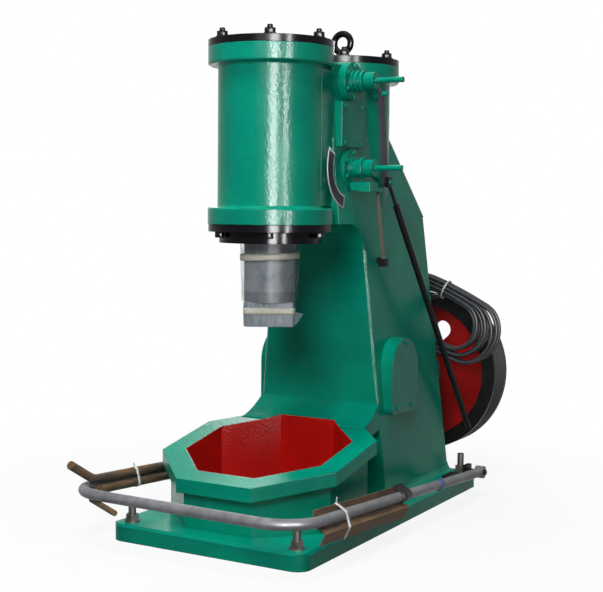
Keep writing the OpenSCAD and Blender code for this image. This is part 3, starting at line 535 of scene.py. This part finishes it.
def aimed(place, axis):
    """The matrix that takes +Z to an axis at a place."""
    return Matrix.Translation(place) @ Vector(axis).to_track_quat("Z", "Y").to_matrix().to_4x4()


def round_edges(bm, edges, offset, segments=2):
    """Takes the sharpness off edges."""
    bmesh.ops.bevel(
        bm, geom=list(edges), offset=offset, offset_type="OFFSET", segments=segments, profile=0.5,
        affect="EDGES", material=-1,
    )


def add_circle(bm, segments, radius, matrix):
    """A circle, as a list of its edges."""
    made = bmesh.ops.create_circle(bm, segments=segments, radius=radius, matrix=matrix)
    return list({e for v in made["verts"] for e in v.link_edges})


def draw_out(bm, edges, way):
    """Draws edges out into a strip, and gives the strip's far edges."""
    grown = bmesh.ops.extrude_edge_only(bm, edges=edges)["geom"]
    corners = [g for g in grown if isinstance(g, bmesh.types.BMVert)]
    bmesh.ops.translate(bm, verts=corners, vec=way)
    return [g for g in grown if isinstance(g, bmesh.types.BMEdge)]


def add_prism(bm, place, axis, sides, radius, height):
    """An upright prism that stands on a place, as its corners."""
    return bmesh.ops.create_cone(
        bm, cap_ends=True, segments=sides, radius1=radius, radius2=radius, depth=height,
        matrix=aimed(place, axis) @ Matrix.Translation((0, 0, height / 2)),
    )["verts"]


def add_nut(bm, place, axis, across, height, chamfer):
    """A hexagonal head with chamfered corners, standing on a place."""
    corners = add_prism(bm, place, axis, 6, across / math.sqrt(3), height)
    round_edges(bm, {e for v in corners for e in v.link_edges}, chamfer)


def add_round(bm, place, axis, radius, height, chamfer):
    """A round disc or stud end with chamfered rims, standing on a place."""
    corners = add_prism(bm, place, axis, 24, radius, height)
    caps = {f for v in corners for f in v.link_faces if len(f.verts) > 4}
    round_edges(bm, {e for f in caps for e in f.edges}, chamfer)


class HAMMER_OT_castings(Operator):
    """Paint the cast pieces"""

    bl_idname = "hammer.castings"
    bl_label = "Castings"

    def execute(self, context):
        paint = context.scene.hammer_paint
        coat, shade = paint.green, paint.green_shade
        cast = {"rough": 0.17, "peel_depth_mm": 0.7}
        green = enamel("Green enamel on cast iron", coat, shade, **cast)[0]
        with_pit = enamel_with_pit(
            "Green enamel with red pit", coat, shade, paint.red, pit_across=paint.pit_across, **cast,
        )
        red = enamel(
            "Red enamel on the wheel", paint.wheel_red, scaled(paint.wheel_red, 0.75),
            rough=0.3, peel_depth_mm=0.15,
        )[0]
        black = enamel(
            "Gloss black enamel", paint.black, scaled(paint.black, 0.7), rough=0.14, peel_depth_mm=0.12,
        )[0]
        satin = satin_paint("Satin black paint", paint.satin, rough=0.38)
        finishes = (
            (GREEN_NODES, green), (PIT_NODES, with_pit), (BLACK_NODES, black), (SATIN_NODES, satin),
            (("wheel_web",), red),
        )
        for nodes, made in finishes:
            for node in nodes:
                finish_node(node, made)
        return {"FINISHED"}


class HAMMER_OT_bare_metal(Operator):
    """Give the bare metal pieces their finish"""

    bl_idname = "hammer.bare_metal"
    bl_label = "Bare metal"

    def execute(self, context):
        paint = context.scene.hammer_paint
        steel = ground_steel("Ground steel", paint.steel)
        finishes = {
            "ram": steel,
            "wheel_shaft": steel,
            "hold_down_studs": dull_plating("Dull zinc plating", paint.zinc),
            "drain_pipe": satin_paint("Dull steel pipe", paint.drain, rough=0.45),
            "treadle_pipe": galvanised("Galvanised pipe", paint.pipe),
            "link_bar": satin_paint("Blued steel bar", paint.bar, rough=0.4),
        }
        rust = rusted("Rusted mill steel", paint.rust, paint.scale)
        finishes.update({"strapped_angles": rust, "strapped_pipes": rust})
        for node, made in finishes.items():
            finish_node(node, made)
        return {"FINISHED"}


def hank_axes(cable):
    """The way from the hank's near end to its far end, its direction, and the direction across it."""
    along = Vector(cable.far_end) - Vector(cable.near_end)
    run = along.normalized()
    return along, run, Vector((-run.z, 0, run.x))


def hank_point(cable, layer, turn, angle):
    """A point of the hank: how far round, how many turns in from the outside, and in which layer."""
    along, run, side = hank_axes(cable)
    share = 1 - cable.fan * math.sqrt(turn / max(1, cable.turns - 1))
    # The outline changes over from one end's circle to the other's along the two long runs
    over = min(1, max(0, 0.5 + 1.2 * math.cos(angle)))
    centre = Vector(cable.near_end) + along * share * over * over * (3 - 2 * over)
    radius = cable.outer - cable.pitch * turn
    point = centre + radius * (math.cos(angle) * run + math.sin(angle) * side)
    point.y += cable.pitch * layer
    return point


def cable_line(cable):
    """Points of the whole cable: the run from the gland, then layers wound inwards and outwards in turn."""
    points = [Vector(p) * MM for p in TAIL_ROUTE]
    along = hank_axes(cable)[0]
    lean = math.atan2(along.z, along.x)
    steps = 32
    total = cable.turns - 1
    # Share of the last turn over which the cable crosses to the next layer
    crossing = 0.3
    for layer in range(cable.layers):
        inwards = layer % 2 == 0
        for step in range(steps * total + 1):
            done = step / steps
            turn = done if inwards else total - done
            angle = math.pi / 2 - lean - 2 * math.pi * (done + layer * total)
            crossed = max(0, 1 - (total - done) / crossing) if layer < cable.layers - 1 else 0
            if layer and step == 0:
                continue
            points.append(hank_point(cable, layer + crossed, turn, angle))
    return points


class HAMMER_OT_cable(Operator):
    """Hang up the supply cable as a hank"""

    bl_idname = "hammer.cable"
    bl_label = "Supply cable"

    def execute(self, context):
        cable = context.scene.hammer_cable
        points = cable_line(cable)
        curve = bpy.data.curves.new("supply_cable", "CURVE")
        curve.dimensions = "3D"
        curve.resolution_u = 3
        curve.bevel_depth = cable.diameter / 2
        curve.bevel_resolution = 4
        curve.use_fill_caps = True
        spline = curve.splines.new("BEZIER")
        spline.bezier_points.add(len(points) - 1)
        for handle, point in zip(spline.bezier_points, points):
            handle.co = point
            handle.handle_left_type = handle.handle_right_type = "AUTO"
        piece = bpy.data.objects.new("supply_cable", curve)
        context.scene.collection.objects.link(piece)
        curve.materials.append(rubber("Rubber cable sheath", context.scene.hammer_paint.rubber))
        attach(piece, "frame")
        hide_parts("cable_coil", "cable_tail")
        self.hank_tie(cable)
        return {"FINISHED"}

    @staticmethod
    def hank_tie(cable):
        """A white plastic tie round the upper run of the hank."""
        angle = cable.tie_bearing
        corners = [(i, j) for i in (0, cable.layers - 1) for j in (0, cable.turns - 1)]
        ends = [hank_point(cable, i, j, angle) for i, j in corners]
        centre = sum(ends, Vector()) / len(ends)
        _, run, side = hank_axes(cable)
        # An oval has to stand out this much to go round the corners of the bundle
        oval = 1.2
        room = cable.diameter / 2 + 2 * MM
        tall = oval * (max(abs((p - centre).dot(side)) for p in ends) + room)
        deep = oval * (max(abs(p.y - centre.y) for p in ends) + room)
        turn = Matrix((side, Vector((0, 1, 0)), run)).transposed().to_4x4()
        bm = bmesh.new()
        ring = add_circle(bm, 40, 1, Matrix.Translation(centre) @ turn @ Matrix.Diagonal((tall, deep, 1, 1)))
        draw_out(bm, ring, cable.tie_width * run)
        white = plain_plastic("White cable tie", linear("#E4E4E0"), rough=0.45)
        piece = keep(bm, "hank_tie", "frame", None, white)
        thicken(piece, 1.5)
        piece.data.shade_smooth()


def bolt_circle(node, radius, count, height):
    """Places of bolts round a node, the first half a step from its front."""
    centre = middle(node)
    for i in range(count):
        angle = 2 * math.pi * (i + 0.5) / count
        yield Vector((centre.x + radius * math.sin(angle), centre.y - radius * math.cos(angle), height))


class HAMMER_OT_cover_bolts(Operator):
    """Put studs and nuts on the covers and bolts under the guide ring"""

    bl_idname = "hammer.cover_bolts"
    bl_label = "Cover bolts"

    def execute(self, context):
        sizes = context.scene.hammer_fasteners
        black = bpy.data.materials["Gloss black enamel"]
        for node in ("working_cover", "compressor_cover"):
            rim_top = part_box(node)[0].z + COVER_RIM
            bm = bmesh.new()
            for place in bolt_circle(node, sizes.cover_circle, sizes.cover_count, rim_top):
                seat = place + Vector((0, 0, WASHER["height"]))
                stud = seat + Vector((0, 0, NUT["height"] - STUD_SUNK))
                add_round(bm, place, UP, **WASHER)
                add_nut(bm, seat, UP, sizes.cover_across, **NUT)
                add_round(bm, stud, UP, **STUD_END)
            smooth_faces(keep(bm, f"{node}_nuts", "frame", "black_enamel", black))
        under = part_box("guide_ring")[0].z
        bm = bmesh.new()
        for place in bolt_circle("guide_ring", sizes.gland_circle, sizes.cover_count, under):
            add_nut(bm, place, DOWN, **RING_BOLT)
        smooth_faces(keep(bm, "guide_ring_bolts", "frame", "black_enamel", black))
        return {"FINISHED"}


class HAMMER_OT_cover_screws(Operator):
    """Put painted screws in the chest plate, valve flanges and side covers"""

    bl_idname = "hammer.cover_screws"
    bl_label = "Cover screws"

    def execute(self, context):
        across = context.scene.hammer_fasteners.screw_across
        green = bpy.data.materials["Green enamel on cast iron"]
        bm = bmesh.new()
        low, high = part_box("chest_plate")
        face = high.x
        for y in (low.y + PLATE_FRONT, high.y - PLATE_REAR):
            for z in (low.z + PLATE_END, high.z - PLATE_END):
                add_round(bm, Vector((face, y, z)), RIGHT, across / 2, **SCREW_HEAD)
        for node in ("upper_valve_cover", "lower_valve_cover"):
            centre = middle(node)
            for i in range(VALVE_SCREWS):
                angle = 2 * math.pi * (i + 0.5) / VALVE_SCREWS
                y, z = VALVE_CIRCLE * math.cos(angle), VALVE_CIRCLE * math.sin(angle)
                add_nut(bm, Vector((face, centre.y + y, centre.z + z)), RIGHT, across, **VALVE_SCREW)
        for node, side in (("right_side_cover", 1), ("left_side_cover", -1)):
            low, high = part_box(node)
            face = high.x if side > 0 else low.x
            centre = middle(node)
            aside = FOOT_SPREAD * (high.y - low.y) / 2
            foot = low.z + COVER_FOOT
            for y, z in ((0, high.z - COVER_TOP), (aside, foot), (-aside, foot)):
                add_round(bm, Vector((face, centre.y + y, z)), (side, 0, 0), across / 2, **SCREW_HEAD)
        smooth_faces(keep(bm, "cover_screws", "frame", "green_enamel", green))
        return {"FINISHED"}


def folds(angle, height, fine):
    """Unevenness of the film, from -1 to 1: slow folds and a share of finer creases."""
    ring = Vector((math.cos(angle), math.sin(angle), 0))
    slow = noise.noise(FOLD_STEPS[0] * ring + Vector((0, 0, FOLD_STEPS[1] * height)))
    creased = noise.noise(CREASE_STEPS[0] * ring + Vector((7, 0, CREASE_STEPS[1] * height)))
    return (1 - fine) * slow + fine * creased


def loose_radius(angle, height, wrap):
    """Radius of the loose film round the ram, which narrows downwards."""
    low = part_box("ram")[0]
    share = min(1, max(0, (height - low.z) / (wrap.top - low.z)))
    room = wrap.slack * (FOOT_SLACK + (1 - FOOT_SLACK) * share)
    held = min(1, abs(height - wrap.upper_tape) / LOOSE_HOLD)
    return wrap.ram_radius + room + LOOSE_FOLD * held * folds(angle, height, LOOSE_CREASES)


def die_radius(angle, height, wrap):
    """Radius of the film drawn tight round the turned die: a square with round corners."""
    turned = angle - wrap.die_turn
    half_w, half_d = wrap.die_width / 2 + wrap.gap, wrap.die_depth / 2 + wrap.gap
    c, s = abs(math.cos(turned)) / half_w, abs(math.sin(turned)) / half_d
    square = (c ** CORNER_POWER + s ** CORNER_POWER) ** (-1 / CORNER_POWER)
    held = min(1, abs(height - wrap.lower_tape) / TIGHT_HOLD)
    return square + DIE_ROOM + TIGHT_FOLD * held * folds(angle, height, TIGHT_CREASES)


def add_tube(bm, low, high, rings, radius, lift=lambda angle: 0):
    """A tube round the ram, in an empty bmesh, whose radius depends on bearing and height."""
    edges = add_circle(bm, FILM_CORNERS, 1, Matrix.Translation((0, 0, low)))
    for _ in range(rings):
        edges = draw_out(bm, edges, (0, 0, (high - low) / rings))
    centre = middle("ram")
    for v in bm.verts:
        angle = math.atan2(v.co.y, v.co.x)
        r = radius(angle, v.co.z)
        x, y = centre.x + r * math.cos(angle), centre.y + r * math.sin(angle)
        v.co = Vector((x, y, v.co.z + lift(angle)))


class HAMMER_OT_ram_wrap(Operator):
    """Turn the die, and wrap it and the ram in clear film held by tape"""

    bl_idname = "hammer.ram_wrap"
    bl_label = "Ram wrap"

    def execute(self, context):
        wrap = context.scene.hammer_wrap
        die = self.turned_die(wrap)
        self.ram_foot(wrap)
        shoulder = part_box("ram")[0].z
        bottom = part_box("upper_die")[0].z
        clear = clear_film("Clear stretch film", clearest=0.18, milkiest=0.6)
        milky = clear_film("Crumpled stretch film", clearest=0.5, milkiest=0.9)
        tape = paper_tape("Cream packing tape", context.scene.hammer_paint.tape)

        bm = bmesh.new()
        add_tube(bm, shoulder, wrap.top, LOOSE_RINGS, lambda a, z: loose_radius(a, z, wrap))
        film = keep(bm, "ram_film", "hammer", None, clear)
        around_ram = 2 * math.pi * loose_radius(0, wrap.upper_tape, wrap)

        bm = bmesh.new()
        add_tube(bm, bottom + HEM, shoulder, TIGHT_RINGS, lambda a, z: die_radius(a, z, wrap))
        self.add_flap(bm, wrap, bottom)
        cover = keep(bm, "die_film", "hammer", None, milky)
        around_die = 2 * (wrap.die_width + wrap.die_depth)

        bands = (
            ("upper_tape", wrap.upper_tape, loose_radius, film, around_ram, TAPE_TILT),
            ("lower_tape", wrap.lower_tape, die_radius, cover, around_die, 0.0),
        )
        for name, height, radius, under, flat, tilt in bands:
            bm = bmesh.new()
            half = wrap.tape_width / 2
            add_tube(
                bm, height - half, height + half, TAPE_RINGS, lambda a, z: radius(a, height, wrap) + MM,
                lambda a: tilt * math.cos(a - wrap.die_turn),
            )
            band = keep(bm, name, "hammer", None, tape)
            thicken(band, 0.6)
            band.data.shade_smooth()
        # The loose film and the upper tape get meshes of their own
        for piece in (film, bpy.data.objects["upper_tape"]):
            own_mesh(piece)
        for piece in (film, cover):
            piece.data.shade_smooth()
        return {"FINISHED"}

    @staticmethod
    def turned_die(wrap):
        """The upper die, turned on the ram to face the front right."""
        low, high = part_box("upper_die")[0].z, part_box("ram")[0].z
        centre = middle("ram")
        size = Vector((wrap.die_width, wrap.die_depth, high - low))
        place = Matrix.Translation((centre.x, centre.y, (low + high) / 2))
        turn = Matrix.Rotation(wrap.die_turn, 4, "Z")
        bm = bmesh.new()
        bmesh.ops.create_cube(bm, size=1, matrix=place @ turn @ Matrix.Diagonal((*size, 1)))
        round_edges(bm, bm.edges, 3 * MM, 3)
        piece = keep(bm, "turned_die", "hammer", "ground_steel", bpy.data.materials["Ground steel"])
        smooth_faces(piece)
        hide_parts("upper_die")
        return piece

    @staticmethod
    def ram_foot(wrap):
        """A thin turned sleeve that closes the ram's foot round the die's seat. Its steel is the ram's steel
        darkened, as painted shade on the ram's lower end.
        """
        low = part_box("ram")[0].z
        centre = middle("ram")
        place = Matrix.Translation((centre.x, centre.y, low))
        bm = bmesh.new()
        ring = add_circle(bm, 192, wrap.ram_radius + 0.04 * MM, place)
        draw_out(bm, ring, (0, 0, wrap.foot_height))
        # Painted shade: the ram's steel made darker on the sleeve, for the shade on the ram's lower end
        dark = scaled(bpy.context.scene.hammer_paint.steel, 0.62)
        piece = keep(bm, "ram_foot", "hammer", "ground_steel", ground_steel("Ram foot steel with painted shade", dark))
        piece.data.shade_smooth()

    @staticmethod
    def add_flap(bm, wrap, bottom):
        """A loose corner of film that stands off the die's right end."""
        centre = middle("ram")
        turn = Matrix.Rotation(wrap.die_turn, 4, "Z")
        right, front = wrap.die_width / 2 + wrap.gap, -wrap.die_depth / 2 - wrap.gap
        corners = []
        for out, ahead, up in FLAP:
            spot = turn @ Vector((right + out * MM, front + ahead * MM, 0))
            corners.append(bm.verts.new((centre.x + spot.x, centre.y + spot.y, bottom + up * MM)))
        bm.faces.new(corners)


def cut_through(nodes, side, y):
    """Points where a plane across the machine cuts nodes, on its right (1) or left (-1) side."""
    found = []
    for node in nodes:
        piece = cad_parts[node]
        bm = bmesh.new()
        bm.from_mesh(piece.data)
        bm.transform(piece.matrix_world)
        cut = bmesh.ops.bisect_plane(
            bm, geom=[*bm.verts, *bm.edges, *bm.faces], plane_co=(0, y, 0), plane_no=(0, 1, 0),
        )["geom_cut"]
        found += [g.co.copy() for g in cut if isinstance(g, bmesh.types.BMVert) and g.co.x * side > 0]
        bm.free()
    return found


def add_band(bm, nodes, side, y, width, room):
    """A band drawn round everything that a plane cuts on one side, as wide as asked."""
    points = cut_through(nodes, side, y)
    flat = [(p.x, p.z) for p in points]
    hull = [Vector(flat[i]) for i in geometry.convex_hull_2d(flat)]
    centre = sum(hull, Vector((0, 0))) / len(hull)
    outer = [p + room * (p - centre).normalized() for p in hull]
    front = [bm.verts.new((p.x, y - width / 2, p.y)) for p in outer]
    edges = [bm.edges.new((a, b)) for a, b in zip(front, front[1:] + front[:1])]
    draw_out(bm, edges, (0, width, 0))
    return max(outer, key=lambda p: p.y)


class HAMMER_OT_ties(Operator):
    """Tie the steel stock to the treadle with ties, a rubber strap and tape"""

    bl_idname = "hammer.ties"
    bl_label = "Ties"

    def execute(self, context):
        ties = context.scene.hammer_ties
        right, left = ("treadle_pipe", "strapped_angles"), ("treadle_pipe", "strapped_pipes")
        white = plain_plastic("White plastic tie", linear("#E4E4E0"), rough=0.45)
        black = plain_plastic("Black rubber strap", linear("#1C1C1E"), rough=0.55)
        blue = plain_plastic("Blue tape", linear("#4F6F96"), rough=0.5)
        bands = (
            ("front_tie", right, 1, ties.front_tie, TIE_WIDTH, white, FRONT_TAIL),
            ("rubber_strap", right, 1, ties.strap, STRAP_WIDTH, black, 0.0),
            ("blue_tape", right, 1, ties.blue_tape, BLUE_WIDTH, blue, 0.0),
            ("left_tie", left, -1, ties.left_tie, TIE_WIDTH, white, LEFT_TAIL),
        )
        for name, nodes, side, y, width, made, tail in bands:
            bm = bmesh.new()
            top = add_band(bm, nodes, side, y, width, BAND_ROOM)
            if tail:
                place = Vector((top.x, y, top.y + tail / 2 - TAIL_SUNK))
                lean = (0.2 * side, -0.25, 1)
                bmesh.ops.create_cone(bm, cap_ends=True, depth=tail, matrix=aimed(place, lean), **TAIL_SHAPE)
            piece = keep(bm, name, "treadle", None, made)
            thicken(piece, 1.5)
            smooth_faces(piece, 50)
        return {"FINISHED"}


class HAMMER_OT_arc_plate(Operator):
    """Put the bare arc-shaped plate on the chest beside the lower valve"""

    bl_idname = "hammer.arc_plate"
    bl_label = "Arc plate"

    def execute(self, context):
        ties = context.scene.hammer_ties
        # The plate is made 1 m to the right of the machine's middle, and then set down on it
        centre = middle("lower_valve_cover") - Vector((0, ties.plate_ahead, 0))
        centre.x = 1
        way = Vector((0, math.cos(PLATE_FROM), math.sin(PLATE_FROM)))
        half = ties.plate_width / 2
        bm = bmesh.new()
        ends = [bm.verts.new(centre + (ties.plate_radius + r) * way) for r in (-half, half)]
        bmesh.ops.subdivide_edges(bm, edges=[bm.edges.new(ends)], cuts=PLATE_ROWS - 1)
        bmesh.ops.spin(
            bm, geom=[*bm.verts, *bm.edges], cent=centre, axis=RIGHT, angle=PLATE_TO - PLATE_FROM,
            steps=PLATE_STEPS,
        )
        for f in bm.faces:
            f.material_index = int(any(e.is_boundary for e in f.edges))
        # It is flat and rests on the casting where that stands out furthest
        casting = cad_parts["column"]
        inward = casting.matrix_world.inverted()
        aim = inward.to_3x3() @ Vector((-1, 0, 0))
        hits = [casting.ray_cast(inward @ v.co, aim)[1] for v in bm.verts]
        seat = max((casting.matrix_world @ spot).x for spot in hits) + PLATE_SEAT
        bmesh.ops.translate(bm, verts=bm.verts, vec=(seat - centre.x, 0, 0))
        face_paint = plain_plastic("Dark plate", linear("#1F2124"), rough=0.35)
        rim_paint = plain_plastic("Pale plate border", linear("#D9DEDB"), rough=0.4)
        piece = keep(bm, "arc_plate", "frame", None, face_paint, rim_paint)
        thicken(piece, 2)
        smooth_faces(piece)
        return {"FINISHED"}


class HAMMER_OT_stage(Operator):
    """Set up the floor, the light and the camera"""

    bl_idname = "hammer.stage"
    bl_label = "Stage"

    def execute(self, context):
        stage = context.scene.hammer_stage
        self.white_world(context, stage.sky)
        self.pale_floor(context)
        self.lamps(context)
        self.camera(context, stage)
        context.scene.view_settings.view_transform = "Standard"
        return {"FINISHED"}

    @staticmethod
    def seen_directly(tree):
        """1 for rays that show the background itself: from the camera, in reflections and through glass."""
        path = add(tree, "LightPath")
        seen = add(
            tree, "Math", {"operation": "MAXIMUM"},
            {0: path.outputs["Is Camera Ray"], 1: path.outputs["Is Glossy Ray"]},
        )
        return add(
            tree, "Math", {"operation": "MAXIMUM"},
            {0: seen.outputs[0], 1: path.outputs["Is Transmission Ray"]},
        ).outputs[0]

    def white_world(self, context, strength):
        """White where it is seen, and a weaker, slightly blue light on everything."""
        world = bpy.data.worlds.new("Even light")
        context.scene.world = world
        world.use_nodes = True
        tree = world.node_tree
        tree.nodes.clear()
        white = add(tree, "Background", {"Color": (1, 1, 1, 1), "Strength": 1.0})
        even = add(tree, "Background", {"Color": (0.9, 0.95, 1, 1), "Strength": strength})
        both = add(
            tree, "MixShader", links={0: self.seen_directly(tree), 1: even.outputs[0], 2: white.outputs[0]},
        )
        add(tree, "OutputWorld", links={"Surface": both.outputs[0]})

    def pale_floor(self, context):
        """A white floor that takes soft shadows near the machine and throws little light back."""
        bm = bmesh.new()
        bmesh.ops.create_grid(bm, x_segments=2, y_segments=2, size=30)
        mesh = bpy.data.meshes.new("floor")
        bm.to_mesh(mesh)
        bm.free()
        floor = bpy.data.objects.new("floor", mesh)
        context.scene.collection.objects.link(floor)
        made = bpy.data.materials.new("Pale floor")
        made.use_nodes = True
        tree = made.node_tree
        tree.nodes.clear()
        dull = add(tree, "BsdfDiffuse", {"Color": (0.2, 0.2, 0.2, 1)})
        pale = add(tree, "BsdfDiffuse", {"Color": (0.8, 0.8, 0.8, 1)})
        white = add(tree, "Emission", {"Color": (1, 1, 1, 1), "Strength": 1.0})
        away = add(
            tree, "VectorMath", {"operation": "LENGTH"}, {0: add(tree, "TexCoord").outputs["Object"]},
        )
        fade = add(
            tree, "MapRange", {"From Min": 0.5, "From Max": 2.0, "To Min": 0.86, "To Max": 1.0},
            {"Value": away.outputs["Value"]},
        )
        bright = add(tree, "MixShader", links={0: fade.outputs[0], 1: pale.outputs[0], 2: white.outputs[0]})
        both = add(
            tree, "MixShader", links={0: self.seen_directly(tree), 1: dull.outputs[0], 2: bright.outputs[0]},
        )
        add(tree, "OutputMaterial", links={"Surface": both.outputs[0]})
        mesh.materials.append(made)

    @staticmethod
    def lamp(context, name, place, aim, size, power, diffuse=True):
        """A rectangular soft lamp at a place, aimed at a point."""
        light = bpy.data.lights.new(name, "AREA")
        light.shape = "RECTANGLE"
        light.size, light.size_y = size
        light.energy = power
        made = bpy.data.objects.new(name, light)
        made.location = place
        made.rotation_euler = (Vector(aim) - Vector(place)).to_track_quat("-Z", "Y").to_euler()
        made.visible_diffuse = diffuse
        made.visible_camera = False
        context.scene.collection.objects.link(made)

    def lamps(self, context):
        """Soft light from above, ahead and behind, and two strips that show only as highlights."""
        self.lamp(context, "sky_panel", (0.2, -1.5, 5.2), (0, 0, 0.7), (3.0, 3.0), 190)
        self.lamp(context, "front_panel", (0.8, -2.8, 2.0), (0, -0.3, 1.1), (1.2, 1.0), 36)
        self.lamp(context, "rear_fill", (-2.2, 4.2, 2.4), (0, 0, 0.8), (2.4, 2.0), 90)
        self.lamp(context, "broad_strip", (2.3, -3.3, 1.35), (0, -0.28, 1.3), (1.0, 2.2), 1350, diffuse=False)
        self.lamp(context, "narrow_strip", (3.1, -1.9, 1.35), (0, -0.28, 1.3), (0.3, 2.2), 520, diffuse=False)

    @staticmethod
    def camera(context, stage):
        """The camera, with the place, turn, tilt and roll of the settings."""
        a, e, r = stage.azimuth, stage.pitch, stage.roll
        right = Vector((math.cos(a), math.sin(a), 0))
        back = Vector((math.sin(a) * math.cos(e), -math.cos(a) * math.cos(e), math.sin(e)))
        up = back.cross(right)
        rolled_right = math.cos(r) * right + math.sin(r) * up
        rolled_up = -math.sin(r) * right + math.cos(r) * up
        data = bpy.data.cameras.new("photo_camera")
        data.lens = stage.lens
        data.sensor_width = 36
        data.sensor_fit = "HORIZONTAL"
        made = bpy.data.objects.new("photo_camera", data)
        turn = Matrix((rolled_right, rolled_up, back)).transposed().to_4x4()
        made.matrix_world = Matrix.Translation(stage.camera_place) @ turn
        context.scene.collection.objects.link(made)
        context.scene.camera = made


OPERATORS = (
    HAMMER_OT_stage, HAMMER_OT_cable, HAMMER_OT_castings, HAMMER_OT_bare_metal, HAMMER_OT_cover_bolts,
    HAMMER_OT_cover_screws, HAMMER_OT_ram_wrap, HAMMER_OT_ties, HAMMER_OT_arc_plate,
)
SETTINGS = {
    "hammer_paint": HammerPaint, "hammer_fasteners": HammerFasteners, "hammer_cable": HammerCable,
    "hammer_wrap": HammerWrap, "hammer_ties": HammerTies, "hammer_stage": HammerStage,
}


class HAMMER_PT_finish(Panel):
    """Settings and operators of the hammer's finish"""

    bl_label = "Forging hammer"
    bl_space_type = "VIEW_3D"
    bl_region_type = "UI"
    bl_category = "Hammer"

    def draw(self, context):
        layout = self.layout
        for name, group in SETTINGS.items():
            box = layout.box()
            box.label(text=group.__doc__.strip("."))
            for key in group.__annotations__:
                box.prop(getattr(context.scene, name), key)
        for operator in OPERATORS:
            layout.operator(operator.bl_idname)


CLASSES = (*SETTINGS.values(), *OPERATORS, HAMMER_PT_finish)


def register():
    for made in CLASSES:
        bpy.utils.register_class(made)
    for name, group in SETTINGS.items():
        setattr(bpy.types.Scene, name, PointerProperty(type=group))


def unregister():
    for name in SETTINGS:
        delattr(bpy.types.Scene, name)
    for made in reversed(CLASSES):
        bpy.utils.unregister_class(made)


def main():
    register()
    bpy.ops.hammer.stage()
    bpy.ops.hammer.cable()
    bpy.ops.hammer.castings()
    bpy.ops.hammer.bare_metal()
    bpy.ops.hammer.cover_bolts()
    bpy.ops.hammer.cover_screws()
    bpy.ops.hammer.ram_wrap()
    bpy.ops.hammer.ties()
    bpy.ops.hammer.arc_plate()


if __name__ == "__main__":
    main()
